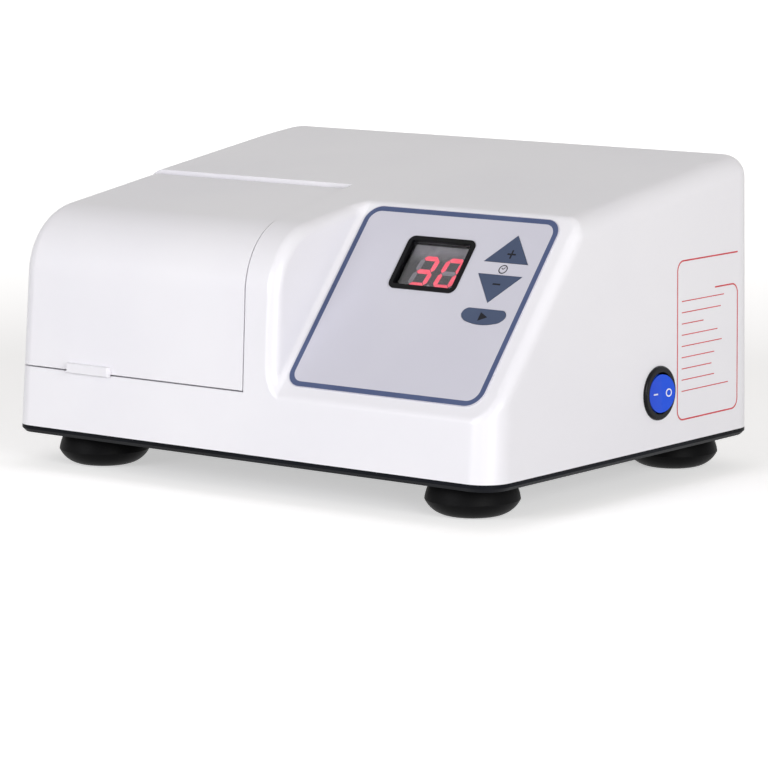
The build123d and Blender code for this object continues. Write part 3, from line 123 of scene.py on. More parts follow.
def link_object(name: str, data: bpy.types.ID) -> bpy.types.Object:
    """Return a new object of this name and data, at the origin of the scene."""
    made = bpy.data.objects.new(name, data)
    bpy.context.collection.objects.link(made)
    return made


class Surface(Enum):
    """How a surface was made, which decides the pattern that it shows."""

    MOULDED = "moulded"
    GRAINED = "grained"
    BRUSHED = "brushed"
    CAST = "cast"
    BANDED = "banded"
    BOARD = "board"


@dataclass(frozen=True)
class Finish:
    """One real material and how its surface was made.

    Grain, relief and drift are real sizes in millimetres.  The colour drifts slowly into its
    shade over the drift length, and the roughness follows the fine pattern, by spread to each
    side.  Along gives the pattern's scale in each direction.  Where fade is given, the colour
    also turns into its shade between these two places along fade_axis, as painted light.
    """

    name: str
    colour: str
    shade: str
    surface: Surface
    grain: float
    relief: float
    roughness: float
    spread: float = 0.05
    metallic: float = 0.0
    ior: float = 1.5
    specular: float = 0.5
    coat: float = 0.0
    transmission: float = 0.0
    glow: float = 0.0
    drift: float = 40.0
    along: Point = (1.0, 1.0, 1.0)
    fade_axis: Point = (0.0, 0.0, 1.0)
    fade: Spot | None = None

    def pattern(self, tree: Tree, place: Socket) -> Socket:
        """Add the fine pattern, from 0 to 1, whose cells are one grain across.

        Args:
            tree: the material's node tree.
            place: the Object coordinates.

        Returns:
            The socket that carries the pattern.
        """
        per_metre = 1.0 / (self.grain * MM)
        scale = tuple(per_metre * share for share in self.along)
        cells = add_node(tree, "Mapping", {"Scale": scale}, {"Vector": place}).outputs[0]
        if self.surface is Surface.GRAINED:
            values = {"Scale": 1.0, "Randomness": 1.0}
            return add_node(tree, "TexVoronoi", values, {"Vector": cells}).outputs["Distance"]
        if self.surface is Surface.BANDED:
            made = add_node(
                tree, "TexWave", {"Scale": BAND_SCALE, "Distortion": 0.25, "Detail": 1.0},
                {"Vector": cells}, wave_type="BANDS", bands_direction="DIAGONAL",
            )
            return made.outputs["Fac"]
        if self.surface is Surface.BOARD:
            made = add_node(
                tree, "TexBrick",
                {"Scale": 1.0, "Mortar Size": 0.09, "Brick Width": 1.9, "Row Height": 0.5,
                 "Color1": WHITE, "Color2": (0.8, 0.8, 0.8, 1), "Mortar": (0, 0, 0, 1)},
                {"Vector": cells},
            )
            return made.outputs["Color"]
        detail = {Surface.MOULDED: 1.0, Surface.BRUSHED: 3.0, Surface.CAST: 5.0}[self.surface]
        values = {"Scale": 1.0, "Detail": detail, "Roughness": 0.55}
        return add_node(tree, "TexNoise", values, {"Vector": cells}).outputs["Fac"]

    def colours(self, tree: Tree, place: Socket, fine: Socket) -> Socket:
        """Mix the two colours by a slow drift and a little of the fine pattern.

        Args:
            tree: the material's node tree.
            place: the Object coordinates.
            fine: the fine pattern.

        Returns:
            The socket that carries the colour.
        """
        values = {"Scale": 1.0 / (self.drift * MM), "Detail": 2.0}
        slow = add_node(tree, "TexNoise", values, {"Vector": place}).outputs["Fac"]
        low, high = DRIFT_RANGE
        share = add_node(tree, "MapRange", {1: low, 2: high}, {0: slow}).outputs[0]
        # Where fade is given, a painted gradient of light turns the colour into its shade.
        if self.fade:
            along = add_node(
                tree, "VectorMath", {1: self.fade_axis}, {0: place}, operation="DOT_PRODUCT"
            ).outputs["Value"]
            ends = {1: self.fade[0] * MM, 2: self.fade[1] * MM}
            faded = add_node(tree, "MapRange", ends, {0: along}, interpolation_type="SMOOTHSTEP")
            left = {1: DRIFT_IN_FADE}
            slight = add_node(tree, "Math", left, {0: share}, operation="MULTIPLY").outputs[0]
            ends = {0: faded.outputs[0], 1: slight}
            share = add_node(tree, "Math", {}, ends, operation="SUBTRACT").outputs[0]
        part = {1: FINE_IN_COLOUR}
        blend = add_node(tree, "Math", part, {0: fine}, operation="MULTIPLY").outputs[0]
        terms = {0: share, 1: blend, 2: share}
        both = add_node(tree, "Math", {}, terms, operation="MULTIPLY_ADD", use_clamp=True)
        ends = {6: linear(self.colour), 7: linear(self.shade)}
        mix = add_node(tree, "Mix", ends, {0: both.outputs[0]}, data_type="RGBA")
        return mix.outputs[2]

    def material(self) -> bpy.types.Material:
        """Return the material, making it the first time it is asked for."""
        made = bpy.data.materials.get(self.name)
        if made:
            return made
        made = bpy.data.materials.new(self.name)
        made.use_nodes = True
        tree = made.node_tree
        tree.nodes.clear()
        place = add_node(tree, "TexCoord").outputs["Object"]
        fine = self.pattern(tree, place)
        colour = self.colours(tree, place, fine)
        smoothest = max(self.roughness - self.spread, 0.0)
        dullest = min(self.roughness + self.spread, 1.0)
        values = {1: 0.0, 2: 1.0, 3: smoothest, 4: dullest}
        rough = add_node(tree, "MapRange", values, {0: fine}).outputs[0]
        values = {"Strength": 1.0, "Distance": self.relief * MM}
        bump = add_node(tree, "Bump", values, {"Height": fine}).outputs[0]
        constants = {
            "Metallic": self.metallic,
            "IOR": self.ior,
            "Specular IOR Level": self.specular,
            "Coat Weight": self.coat,
            "Coat Roughness": COAT_ROUGHNESS,
            "Transmission Weight": self.transmission,
            "Emission Strength": self.glow,
            "Emission Color": linear(self.colour),
        }
        varied = {"Base Color": colour, "Roughness": rough, "Normal": bump}
        body = add_node(tree, "BsdfPrincipled", constants, varied)
        add_node(tree, "OutputMaterial", {}, {"Surface": body.outputs[0]})
        return made


# ---------------------------------------------------------------- finishes used in several places
# Zinc-plated steel: bright, slightly blue screws with fine drawing marks.
SCREW_STEEL = Finish(
    "zinc_plated_steel", "b9bbbd", "9a9c9f", Surface.BRUSHED,
    grain=0.4, relief=0.004, roughness=0.32, spread=0.1, metallic=1.0, along=(1.0, 1.0, 0.2),
)
# Ground bearing steel: an even, bright grey.
SHAFT_STEEL = Finish(
    "ground_bearing_steel", "c3c4c6", "a9abae", Surface.BRUSHED,
    grain=0.3, relief=0.002, roughness=0.2, spread=0.06, metallic=1.0, along=(0.1, 1.0, 1.0),
)
# Laminated motor steel: dark edges of stacked 0.5 mm sheets.
CORE_STEEL = Finish(
    "laminated_motor_steel", "6a6b6f", "4a4b4f", Surface.BANDED,
    grain=0.5, relief=0.03, roughness=0.45, spread=0.1, metallic=1.0, along=(0.0, 1.7, 0.0),
)
# Enamelled copper wire, 0.5 mm thick, wound in close turns.
WINDING_COPPER = Finish(
    "enamelled_copper_wire", "b8643a", "7d3a1c", Surface.BANDED,
    grain=0.5, relief=0.1, roughness=0.28, spread=0.08, metallic=1.0, along=(0.0, 0.0, 1.7),
)
# Tinned brass: pale yellow metal of contacts and pins.
PIN_BRASS = Finish(
    "plated_brass", "d6c08a", "b59b62", Surface.BRUSHED,
    grain=0.4, relief=0.003, roughness=0.26, spread=0.08, metallic=1.0, along=(1.0, 0.2, 1.0),
)
# Solder resist over copper tracks: green lacquer with faint straight tracks.
BOARD_GREEN = Finish(
    "solder_resist_board", "1c5a33", "2f7a48", Surface.BOARD,
    grain=2.4, relief=0.03, roughness=0.3, spread=0.06, coat=0.3,
)
# Black moulded plastic of connectors, chips and switch bodies.
DARK_PLASTIC = Finish(
    "moulded_black_nylon", "161618", "202023", Surface.GRAINED,
    grain=0.5, relief=0.006, roughness=0.42, spread=0.08, specular=0.3,
)


# ---------------------------------------------------------------- surfaces
@dataclass(frozen=True)
class Plane:
    """A flat place on the object, with its own two directions and its outward normal."""

    origin: Point
    across: Point
    up: Point

    def normal(self) -> np.ndarray:
        """Return the direction that points away from the object."""
        return np.cross(self.across, self.up)

    def place(self, points: np.ndarray) -> np.ndarray:
        """Carry points from (across, up, out) on this plane into the object's own space.

        Formula: origin + a * across + b * up + c * normal.

        Args:
            points: array whose last axis is (a, b, c), in millimetres.

        Returns:
            The same points as (x, y, z), in millimetres.
        """
        axes = np.stack([np.array(self.across), np.array(self.up), self.normal()])
        return np.array(self.origin) + points @ axes


def grid_faces(rows: int, columns: int, close_rows: bool, close_columns: bool) -> np.ndarray:
    """Return the quads that join a grid of points.

    Formula: each quad joins (i, j), (i+1, j), (i+1, j+1) and (i, j+1), wrapping where closed.

    Args:
        rows: number of points along the first parameter.
        columns: number of points along the second parameter.
        close_rows: whether the last row joins the first.
        close_columns: whether the last column joins the first.

    Returns:
        An array of four vertex numbers for each quad.
    """
    i, j = np.meshgrid(
        np.arange(rows if close_rows else rows - 1),
        np.arange(columns if close_columns else columns - 1),
        indexing="ij",
    )
    i2, j2 = (i + 1) % rows, (j + 1) % columns
    quads = np.stack([i * columns + j, i2 * columns + j, i2 * columns + j2, i * columns + j2], -1)
    return quads.reshape(-1, 4)


def rounded_loop(
    width: float, height: float, corner: float, steps: int = 10
) -> tuple[np.ndarray, np.ndarray]:
    """Return a rounded rectangle and the outward direction at each of its points.

    Formula: each corner's centre plus the corner radius times (cos, sin) of the turn.

    Args:
        width: full width.
        height: full height.
        corner: corner radius.
        steps: points on each corner.

    Returns:
        Points and unit directions, both as arrays of (across, up), anticlockwise.
    """
    turn = np.concatenate([np.linspace(k, k + 1, steps) * math.pi / 2 for k in range(4)])
    out = np.stack([np.cos(turn), np.sin(turn)], -1)
    signs = np.repeat([[1, 1], [-1, 1], [-1, -1], [1, -1]], steps, axis=0)
    centres = signs * np.array([width / 2 - corner, height / 2 - corner])
    return centres + corner * out, out


def ring_band(
    points: np.ndarray, outward: np.ndarray, width: float, rise: float, sink: float
) -> tuple[np.ndarray, np.ndarray]:
    """Sweep a thin flat band round a closed loop, inwards from it.

    Formula: loop point minus a times the outward direction, at height b, where (a, b) runs
    round the band's own four-cornered section.

    Args:
        points: the loop's outer edge, as (across, up).
        outward: unit directions away from the loop's middle.
        width: the band's width.
        rise: how far it stands out of the plane.
        sink: how far it goes into the plane.

    Returns:
        Vertices as (across, up, out) and their quads.
    """
    section = np.array([[0, -sink], [0, rise], [width, rise], [width, -sink]])
    flat = points[:, None, :] - section[None, :, :1] * outward[:, None, :]
    high = np.broadcast_to(section[None, :, 1:], flat.shape[:2] + (1,))
    verts = np.concatenate([flat, high], -1).reshape(-1, 3)
    return verts, grid_faces(len(points), len(section), True, True)


def open_band(
    path: np.ndarray, width: float, rise: float, sink: float
) -> tuple[np.ndarray, list]:
    """Sweep a thin flat line of even width along an open path, closed at both ends.

    Formula: path point plus or minus half the width times the path's left-hand normal, at
    height b, where the two signs and heights run round the line's four-cornered section.

    Args:
        path: the line's middle, as (across, up).
        width: the line's width.
        rise: how far it stands out of the plane.
        sink: how far it goes into the plane.

    Returns:
        Vertices as (across, up, out) and their quads.
    """
    way = np.gradient(path, axis=0)
    way /= np.linalg.norm(way, axis=1, keepdims=True)
    left = np.stack([-way[:, 1], way[:, 0]], -1)
    section = np.array([[-0.5, -sink], [-0.5, rise], [0.5, rise], [0.5, -sink]])
    flat = path[:, None, :] + width * section[None, :, :1] * left[:, None, :]
    high = np.broadcast_to(section[None, :, 1:], flat.shape[:2] + (1,))
    verts = np.concatenate([flat, high], -1).reshape(-1, 3)
    last = len(verts)
    ends = [(0, 1, 2, 3), (last - 1, last - 2, last - 3, last - 4)]
    return verts, [*map(tuple, grid_faces(len(path), len(section), False, True)), *ends]


def flat_plate(outline: np.ndarray, rise: float, sink: float) -> tuple[np.ndarray, list]:
    """Raise a closed outline into a thin plate.

    Formula: the outline at height -sink, the same outline at height rise, and quads between.

    Args:
        outline: the plate's edge as (across, up), anticlockwise.
        rise: how far it stands out of the plane.
        sink: how far it goes into the plane.

    Returns:
        Vertices as (across, up, out) and a list of faces.
    """
    count = len(outline)
    low = np.column_stack([outline, np.full(count, -sink)])
    high = np.column_stack([outline, np.full(count, rise)])
    ring = np.arange(count)
    sides = np.stack([ring, (ring + 1) % count, (ring + 1) % count + count, ring + count], -1)
    faces = [*map(tuple, sides), tuple(ring[::-1]), tuple(ring + count)]
    return np.concatenate([low, high]), faces


def make_piece(name: str, verts: np.ndarray, faces: object, finish: Finish) -> bpy.types.Object:
    """Put a surface into a new mesh object at the origin.

    Args:
        name: the piece's name.
        verts: points in millimetres.
        faces: faces as vertex numbers.
        finish: what the piece is made of.

    Returns:
        The new object.
    """
    mesh = bpy.data.meshes.new(name)
    mesh.from_pydata((np.asarray(verts) * MM).tolist(), [], [tuple(map(int, f)) for f in faces])
    mesh.update()
    mesh.materials.append(finish.material())
    return link_object(name, mesh)


def join_surfaces(surfaces: list[tuple[np.ndarray, object]]) -> tuple[np.ndarray, list]:
    """Put several surfaces into one list of points and faces.

    Formula: each surface's vertex numbers are moved up by the points before it.

    Args:
        surfaces: pairs of vertices and faces.

    Returns:
        All the vertices and all the faces.
    """
    verts, faces, start = [], [], 0
    for points, quads in surfaces:
        verts.append(points)
        faces.extend(tuple(int(v) + start for v in q) for q in quads)
        start += len(points)
    return np.concatenate(verts), faces


def bar_outline(length: float, width: float, turn: float, centre: Spot) -> np.ndarray:
    """Return the four corners of a short bar.

    Formula: corners (+-length/2, +-width/2) turned and moved to the centre.

    Args:
        length: the bar's length.
        width: its width.
        turn: its angle in degrees, anticlockwise.
        centre: its middle, as (across, up).

    Returns:
        The corners, anticlockwise.
    """
    corners = np.array([[-1, -1], [1, -1], [1, 1], [-1, 1]]) * [length / 2, width / 2]
    c, s = math.cos(math.radians(turn)), math.sin(math.radians(turn))
    return corners @ np.array([[c, s], [-s, c]]) + centre


def region_areas(mesh: bmesh.types.BMesh, flat: float) -> list[float]:
    """Return, for each face, the area of the flat region that it belongs to.

    Formula: neighbours whose planes differ by less than the flat angle share one region, and
    the region's area is the sum of its faces' areas.

    Args:
        mesh: the mesh, with its face numbers up to date.
        flat: the largest angle inside a flat region, in radians.

    Returns:
        The area of each face's region, by face number.
    """
    areas = [0.0] * len(mesh.faces)
    seen = [False] * len(mesh.faces)
    for start in mesh.faces:
        if seen[start.index]:
            continue
        seen[start.index] = True
        region, queue = [], [start]
        while queue:
            face = queue.pop()
            region.append(face)
            for edge in face.edges:
                for other in edge.link_faces:
                    if not seen[other.index] and other.normal.angle(face.normal, 0.0) < flat:
                        seen[other.index] = True
                        queue.append(other)
        total = sum(face.calc_area() for face in region)
        for face in region:
            areas[face.index] = total
    return areas


def smooth_copy(node: str, name: str, angle: float = 32.0) -> bpy.types.Object:
    """Copy a CAD node as one joined mesh whose flats stay flat and whose curves shade smoothly.

    Formula: each corner's normal is the sum, over the faces round its point that lie within the
    angle of its own face, of the face's normal times the square of its flat region's area.

    Args:
        node: the CAD node.
        name: the new piece's name.
        angle: edges sharper than this many degrees stay crisp.

    Returns:
        The new object, with no material yet.
    """
    mesh = frame["nodes"][node].data.copy()
    mesh.name = name
    work = bmesh.new()
    work.from_mesh(mesh)
    bmesh.ops.remove_doubles(work, verts=work.verts, dist=MERGE_DISTANCE)
    bmesh.ops.dissolve_degenerate(work, edges=work.edges, dist=SLIVER_LENGTH)
    work.faces.index_update()
    work.normal_update()
    areas = region_areas(work, math.radians(FLAT_ANGLE))
    weights = [(area / MM**2) ** 2 for area in areas]
    limit = math.cos(math.radians(angle))
    normals = []
    for face in work.faces:
        for corner in face.loops:
            total = Vector()
            for other in corner.vert.link_faces:
                if other.normal.dot(face.normal) > limit:
                    total += other.normal * weights[other.index]
            normals.append(total.normalized() if total.length > 0 else face.normal.copy())
    work.to_mesh(mesh)
    work.free()
    mesh.materials.clear()
    mesh.shade_smooth()
    mesh.normals_split_custom_set(normals)
    return link_object(name, mesh)


# ---------------------------------------------------------------- sub-assemblies
@dataclass
class SubAssembly:
    """A group of CAD nodes with their finishes, and the new pieces that go with them."""

    smooth: tuple[str, ...] = ()

    def finishes(self) -> dict[str, Finish]:
        """Return the finish of each CAD node of this group."""
        return {}

    def dress(self) -> None:
        """Give each CAD node its finish, and shade the curved ones smoothly."""
        for node, finish in self.finishes().items():
            if node in self.smooth:
                piece = smooth_copy(node, node + "_skin")
                piece.data.materials.append(finish.material())
                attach(piece, BODY_OF[node])
                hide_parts(node)
                LOG.info("smooth %s", node)
            else:
                frame["nodes"][node].material_slots[0].material = finish.material()
                LOG.info("dressed %s", node)

    def add(
        self, name: str, plane: Plane, surface: tuple, finish: Finish, body: str, slot: str
    ) -> bpy.types.Object:
        """Put a new piece on one of the object's planes.

        Args:
            name: the piece's name.
            plane: the plane that carries it.
            surface: its vertices, as (across, up, out), and its faces.
            finish: what it is made of.
            body: the CAD body that it rides on.
            slot: the record's material slot; not used.

        Returns:
            The new object.
        """
        piece = make_piece(name, plane.place(surface[0]), surface[1], finish)
        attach(piece, body)
        LOG.info("made %s", name)
        return piece

    def build(self) -> None:
        """Dress the CAD nodes; groups with new pieces add to this."""
        self.dress()


# Gloss white ABS: cool white, faint orange peel from the mould and a soft sheen.
WHITE_ABS = Finish(
    "moulded_white_abs", "efeef2", "ebeaef", Surface.MOULDED,
    grain=5.0, relief=0.004, roughness=0.3, spread=0.03, ior=1.53, drift=90.0,
)


@dataclass
class Housing(SubAssembly):
    """The white housing, its black base plate and the screws under it."""

    smooth: tuple[str, ...] = ("housing_shell",)
    plate_top: float = 16.5
    half_width: float = 120.0
    side_draft: float = 0.5
    frame_y: Spot = (33.2, 76.5)
    frame_z: Spot = (25.4, 88.3)
    frame_corner: float = 4.0
    bend_steps: int = 9
    line_width: float = 0.62
    print_rise: float = 0.03
    step_share: float = 0.62
    step_drop: float = 12.6
    row_first: float = 16.0
    row_pitch: float = 4.45
    row_width: float = 0.4
    row_inset: float = 0.07
    row_span: float = 0.9
    row_shares: tuple[float, ...] = (0.78, 0.72, 0.4, 0.66, 0.74, 0.6, 0.55, 0.6, 0.86)

    def finishes(self) -> dict[str, Finish]:
        """Return the finishes of the housing, base plate and screws."""
        return {
            "housing_shell": WHITE_ABS,
            # Powder-coated steel sheet: near-black with a fine, even grain.
            "base_plate": Finish(
                "powder_coated_steel", "0a0b0f", "101218", Surface.GRAINED,
                grain=0.5, relief=0.006, roughness=0.45, spread=0.08, specular=0.07,
            ),
            "base_screws": SCREW_STEEL,
            "chassis_screws": SCREW_STEEL,
        }

    def side_plane(self) -> Plane:
        """Return the right side face, with its origin in the middle of the printed frame."""
        lean = math.radians(self.side_draft)
        y = sum(self.frame_y) / 2
        z = sum(self.frame_z) / 2
        x = self.half_width - (z - self.plate_top) * math.tan(lean)
        return Plane((x, y, z), (0, 1, 0), (-math.sin(lean), 0, math.cos(lean)))

    def build(self) -> None:
        """Dress the nodes and print the ruled frame on the right side."""
        self.dress()
        # Screen-printing ink: flat red with slightly uneven cover.
        ink = Finish(
            "screen_print_red", "c4383e", "d04a50", Surface.CAST,
            grain=0.4, relief=0.002, roughness=0.5, spread=0.1, specular=0.3, drift=6.0,
        )
        rise = self.print_rise
        width = self.frame_y[1] - self.frame_y[0]
        height = self.frame_z[1] - self.frame_z[0]
        right, top, bend = width / 2, height / 2, self.frame_corner
        turn = np.linspace(0, math.pi / 2, self.bend_steps)
        arc = bend * np.stack([np.cos(turn), np.sin(turn)], -1)
        step = top - self.step_drop
        # one line from the header's right end, round three corners and up to the step's end
        line = np.concatenate([
            [[right, top]],
            arc[:, ::-1] * [-1, 1] + [-right + bend, top - bend],
            arc * [-1, -1] + [-right + bend, -top + bend],
            arc[:, ::-1] * [1, -1] + [right - bend, -top + bend],
            arc + [right - bend, step - bend],
            [[-right + width * self.step_share, step]],
        ])
        parts = [open_band(line, self.line_width, rise, rise)]
        left = -right + width * self.row_inset
        for row, share in enumerate(self.row_shares):
            up = top - self.row_first - row * self.row_pitch
            length = width * self.row_span * share
            bar = bar_outline(length, self.row_width, 0, (left + length / 2, up))
            parts.append(flat_plate(bar, rise, rise))
        self.add("side_print", self.side_plane(), join_surfaces(parts), ink, "base", "segment_red")


@dataclass
class Feet(SubAssembly):
    """Four moulded rubber feet with the screws that hold them."""

    smooth: tuple[str, ...] = (
        "foot_front_left", "foot_front_right", "foot_rear_left", "foot_rear_right",
    )

    def finishes(self) -> dict[str, Finish]:
        """Return the finishes of the feet and their screws."""
        # Moulded black rubber: dull, dark grey where it catches the light.
        rubber = Finish(
            "moulded_black_rubber", "080809", "0e0e0f", Surface.CAST,
            grain=0.8, relief=0.008, roughness=0.5, spread=0.1, specular=0.06,
        )
        return {**dict.fromkeys(self.smooth, rubber), "foot_screws": SCREW_STEEL}


@dataclass
class Lid(SubAssembly):
    """The hinged lid over the mixing chamber, with its pin and magnet."""

    smooth: tuple[str, ...] = ("lid",)

    def finishes(self) -> dict[str, Finish]:
        """Return the finishes of the lid, its pin and its magnet."""
        return {
            "lid": WHITE_ABS,
            "lid_hinge_pin": SHAFT_STEEL,
            # Nickel plating over a pressed magnet: bright with a faint warm cast.
            "lid_magnet": Finish(
                "nickel_plate", "c9c7c2", "b4b2ad", Surface.CAST,
                grain=1.0, relief=0.003, roughness=0.15, spread=0.05, metallic=1.0,
            ),
        }


@dataclass
class Chamber(SubAssembly):
    """The mixing tray under the lid, the shaft seal and the lid's reed switch."""

    def finishes(self) -> dict[str, Finish]:
        """Return the finishes of the tray, the seal and the reed switch."""
        return {
            # Moulded polypropylene: pale grey and slightly waxy.
            "mixing_tray": Finish(
                "moulded_polypropylene", "cfcfd2", "c4c4c8", Surface.GRAINED,
                grain=0.7, relief=0.01, roughness=0.48, spread=0.08,
            ),
            # Nitrile rubber: black, dull and smooth.
            "shaft_seal": Finish(
                "nitrile_rubber", "1c1c1d", "262627", Surface.CAST,
                grain=1.2, relief=0.01, roughness=0.55, spread=0.08,
            ),
            "reed_switch": DARK_PLASTIC,
        }


@dataclass
class Panel(SubAssembly):
    """The sloping panel: printed film, its border, three keys with their marks and a clock."""

    slope_y: float = -89.25269
    slope_z: float = 40.3
    slope_angle: float = 49.9
    film_left: float = 17.8
    film_low: float = 5.3
    film_width: float = 92.9
    film_height: float = 84.9
    film_corner: float = 7.0
    film_top: float = 0.5
    border_width: float = 2.2
    border_inset: float = 0.25
    border_steps: int = 16
    key_top: float = 0.6
    key_stroke: float = 0.75
    plus_mark: Spot = (94.2, 73.0)
    plus_length: float = 3.9
    minus_mark: Spot = (93.6, 59.2)
    minus_length: float = 3.6
    start_centre: Spot = (94.1, 44.4)
    start_back: float = 1.6
    start_point: float = 2.2
    start_half: float = 2.0
    clock_centre: Spot = (93.4, 66.1)
    clock_radius: float = 2.0
    clock_stroke: float = 0.45
    clock_steps: int = 8
    hand_stroke: float = 0.35
    print_rise: float = 0.02
    # each hand's length as a share of the radius, its angle, and its middle in lengths
    hands: tuple[tuple[float, float, Spot], ...] = (
        (0.62, 50.0, (0.32, 0.38)),
        (0.496, 150.0, (-0.4375, 0.25)),
    )

    def plane(self, out: float) -> Plane:
        """Return the sloping plane moved outwards by out."""
        s, c = math.sin(math.radians(self.slope_angle)), math.cos(math.radians(self.slope_angle))
        return Plane((0, self.slope_y - out * s, self.slope_z + out * c), (1, 0, 0), (0, c, s))

    def finishes(self) -> dict[str, Finish]:
        """Return the finishes of the film and of its keys."""
        # Printed polyester film, the back of each key: slate blue, satin.
        key = Finish(
            "printed_slate_film", "47526b", "4c5872", Surface.GRAINED,
            grain=0.35, relief=0.003, roughness=0.42, spread=0.05, specular=0.15,
        )
        return {
            # Printed polyester film: pale violet grey, satin, with a very fine grain.
            "panel_overlay": Finish(
                "printed_polyester_film", "cfced8", "cbcad5", Surface.GRAINED,
                grain=0.35, relief=0.003, roughness=0.4, spread=0.05, drift=60.0,
            ),
            "key_plus": key,
            "key_minus": key,
            "key_start": key,
        }

    def build(self) -> None:
        """Dress the nodes, then print the border, the clock and the keys' marks."""
        self.dress()
        rise = self.print_rise
        film = self.plane(self.film_top)
        wide, high = self.film_width, self.film_height
        middle = np.array([self.film_left + wide / 2, self.film_low + high / 2])
        trim = 2 * self.border_inset
        loop, out = rounded_loop(wide - trim, high - trim, self.film_corner, self.border_steps)
        # Screen-printed slate blue border line.
        slate = Finish(
            "screen_print_slate", "4a567a", "505c80", Surface.CAST,
            grain=0.35, relief=0.002, roughness=0.42, spread=0.06, specular=0.2, drift=12.0,
        )
        # Screen-printed dark marks, nearly black.
        dark = Finish(
            "screen_print_black", "14151b", "1b1d25", Surface.CAST,
            grain=0.35, relief=0.002, roughness=0.45, spread=0.06, specular=0.15, drift=8.0,
        )
        border = ring_band(loop + middle, out, self.border_width, rise, rise)
        self.add("panel_border", film, border, slate, "base", "overlay_grey")
        radius = self.clock_radius
        circle, around = rounded_loop(2 * radius, 2 * radius, radius, self.clock_steps)
        x, t = self.clock_centre
        clock = [ring_band(circle + np.array([x, t]), around, self.clock_stroke, rise, rise)]
        for share, turn, (a, b) in self.hands:
            hand = radius * share
            bar = bar_outline(hand, self.hand_stroke, turn, (x + hand * a, t + hand * b))
            clock.append(flat_plate(bar, rise, rise))
        self.add("clock_mark", film, join_surfaces(clock), dark, "base", "overlay_grey")
        keys = self.plane(self.key_top)
        stroke = self.key_stroke
        bars = [
            flat_plate(bar_outline(self.plus_length, stroke, 0, self.plus_mark), rise, rise),
            flat_plate(bar_outline(self.plus_length, stroke, 90, self.plus_mark), rise * 1.2, rise),
        ]
        self.add("plus_mark", keys, join_surfaces(bars), dark, "plus_key", "key_blue")
        minus = flat_plate(bar_outline(self.minus_length, stroke, 0, self.minus_mark), rise, rise)
        self.add("minus_mark", keys, minus, dark, "minus_key", "key_blue")
        x, t = self.start_centre
        back, half = x - self.start_back, self.start_half
        pointer = np.array([[back, t - half], [x + self.start_point, t], [back, t + half]])
        self.add("start_mark", keys, flat_plate(pointer, rise, rise), dark, "start_key", "key_blue")


@dataclass
class Display(SubAssembly):
    """The two-digit display behind its glossy black frame."""

    smooth: tuple[str, ...] = ("display_bezel",)

    def finishes(self) -> dict[str, Finish]:
        """Return the finishes of the display's pieces."""
        return {
            # Gloss black ABS frame: deep black with clean highlights.
            "display_bezel": Finish(
                "gloss_black_abs", "08080a", "0d0d10", Surface.MOULDED,
                grain=3.0, relief=0.003, roughness=0.3, spread=0.04, specular=0.1,
            ),
            # Clear acrylic window: almost invisible but for its gloss.
            "display_window": Finish(
                "clear_acrylic", "dcdce0", "d6d6db", Surface.MOULDED,
                grain=8.0, relief=0.001, roughness=0.04, spread=0.02, ior=1.49,
                transmission=1.0,
            ),
            # Grey face of the digit module: mottled dark grey, with a painted reflection paling its
            # top.
            "display_module": Finish(
                "module_face_grey", "454346", "b9b6ba", Surface.CAST,
                grain=2.0, relief=0.01, roughness=0.5, spread=0.08, drift=5.0,
                fade_axis=(0.0, 0.6441, 0.7649), fade=(38.0, 49.5),
            ),
            # Lit diffuser bars: bright pink-red light.
            "lit_segments": Finish(
                "lit_red_diffuser", "ff4a62", "ff6a7c", Surface.CAST,
                grain=1.5, relief=0.002, roughness=0.4, spread=0.05, glow=0.9, drift=3.0,
            ),
            # Unlit diffuser bars: milky pale grey resin.
            "dark_segments": Finish(
                "milky_diffuser", "a7a3a8", "b5b1b6", Surface.CAST,
                grain=1.5, relief=0.002, roughness=0.4, spread=0.05, drift=3.0,
            ),
        }


@dataclass
class Electronics(SubAssembly):
    """The boards, the parts on them and the transformer inside the housing."""

    def finishes(self) -> dict[str, Finish]:
        """Return the finishes of the boards and of what they carry."""
        # Moulded nylon: warm white spacers.
        nylon = Finish(
            "moulded_nylon", "e6e3d8", "dcd9cd", Surface.MOULDED,
            grain=2.0, relief=0.005, roughness=0.45, spread=0.06,
        )
        return {
            "control_board": BOARD_GREEN,
            "power_board": BOARD_GREEN,
            "control_chips": DARK_PLASTIC,
            "tact_switches": DARK_PLASTIC,
            "board_standoffs": nylon,
            "board_screws": SCREW_STEEL,
            # Moulded blue polyester cases of the relay, capacitors and terminals.
            "power_board_parts": Finish(
                "moulded_blue_polyester", "1d3a76", "27488a", Surface.GRAINED,
                grain=0.6, relief=0.006, roughness=0.36, spread=0.06,
            ),
            "transformer_core": CORE_STEEL,
            "transformer_winding": WINDING_COPPER,
        }


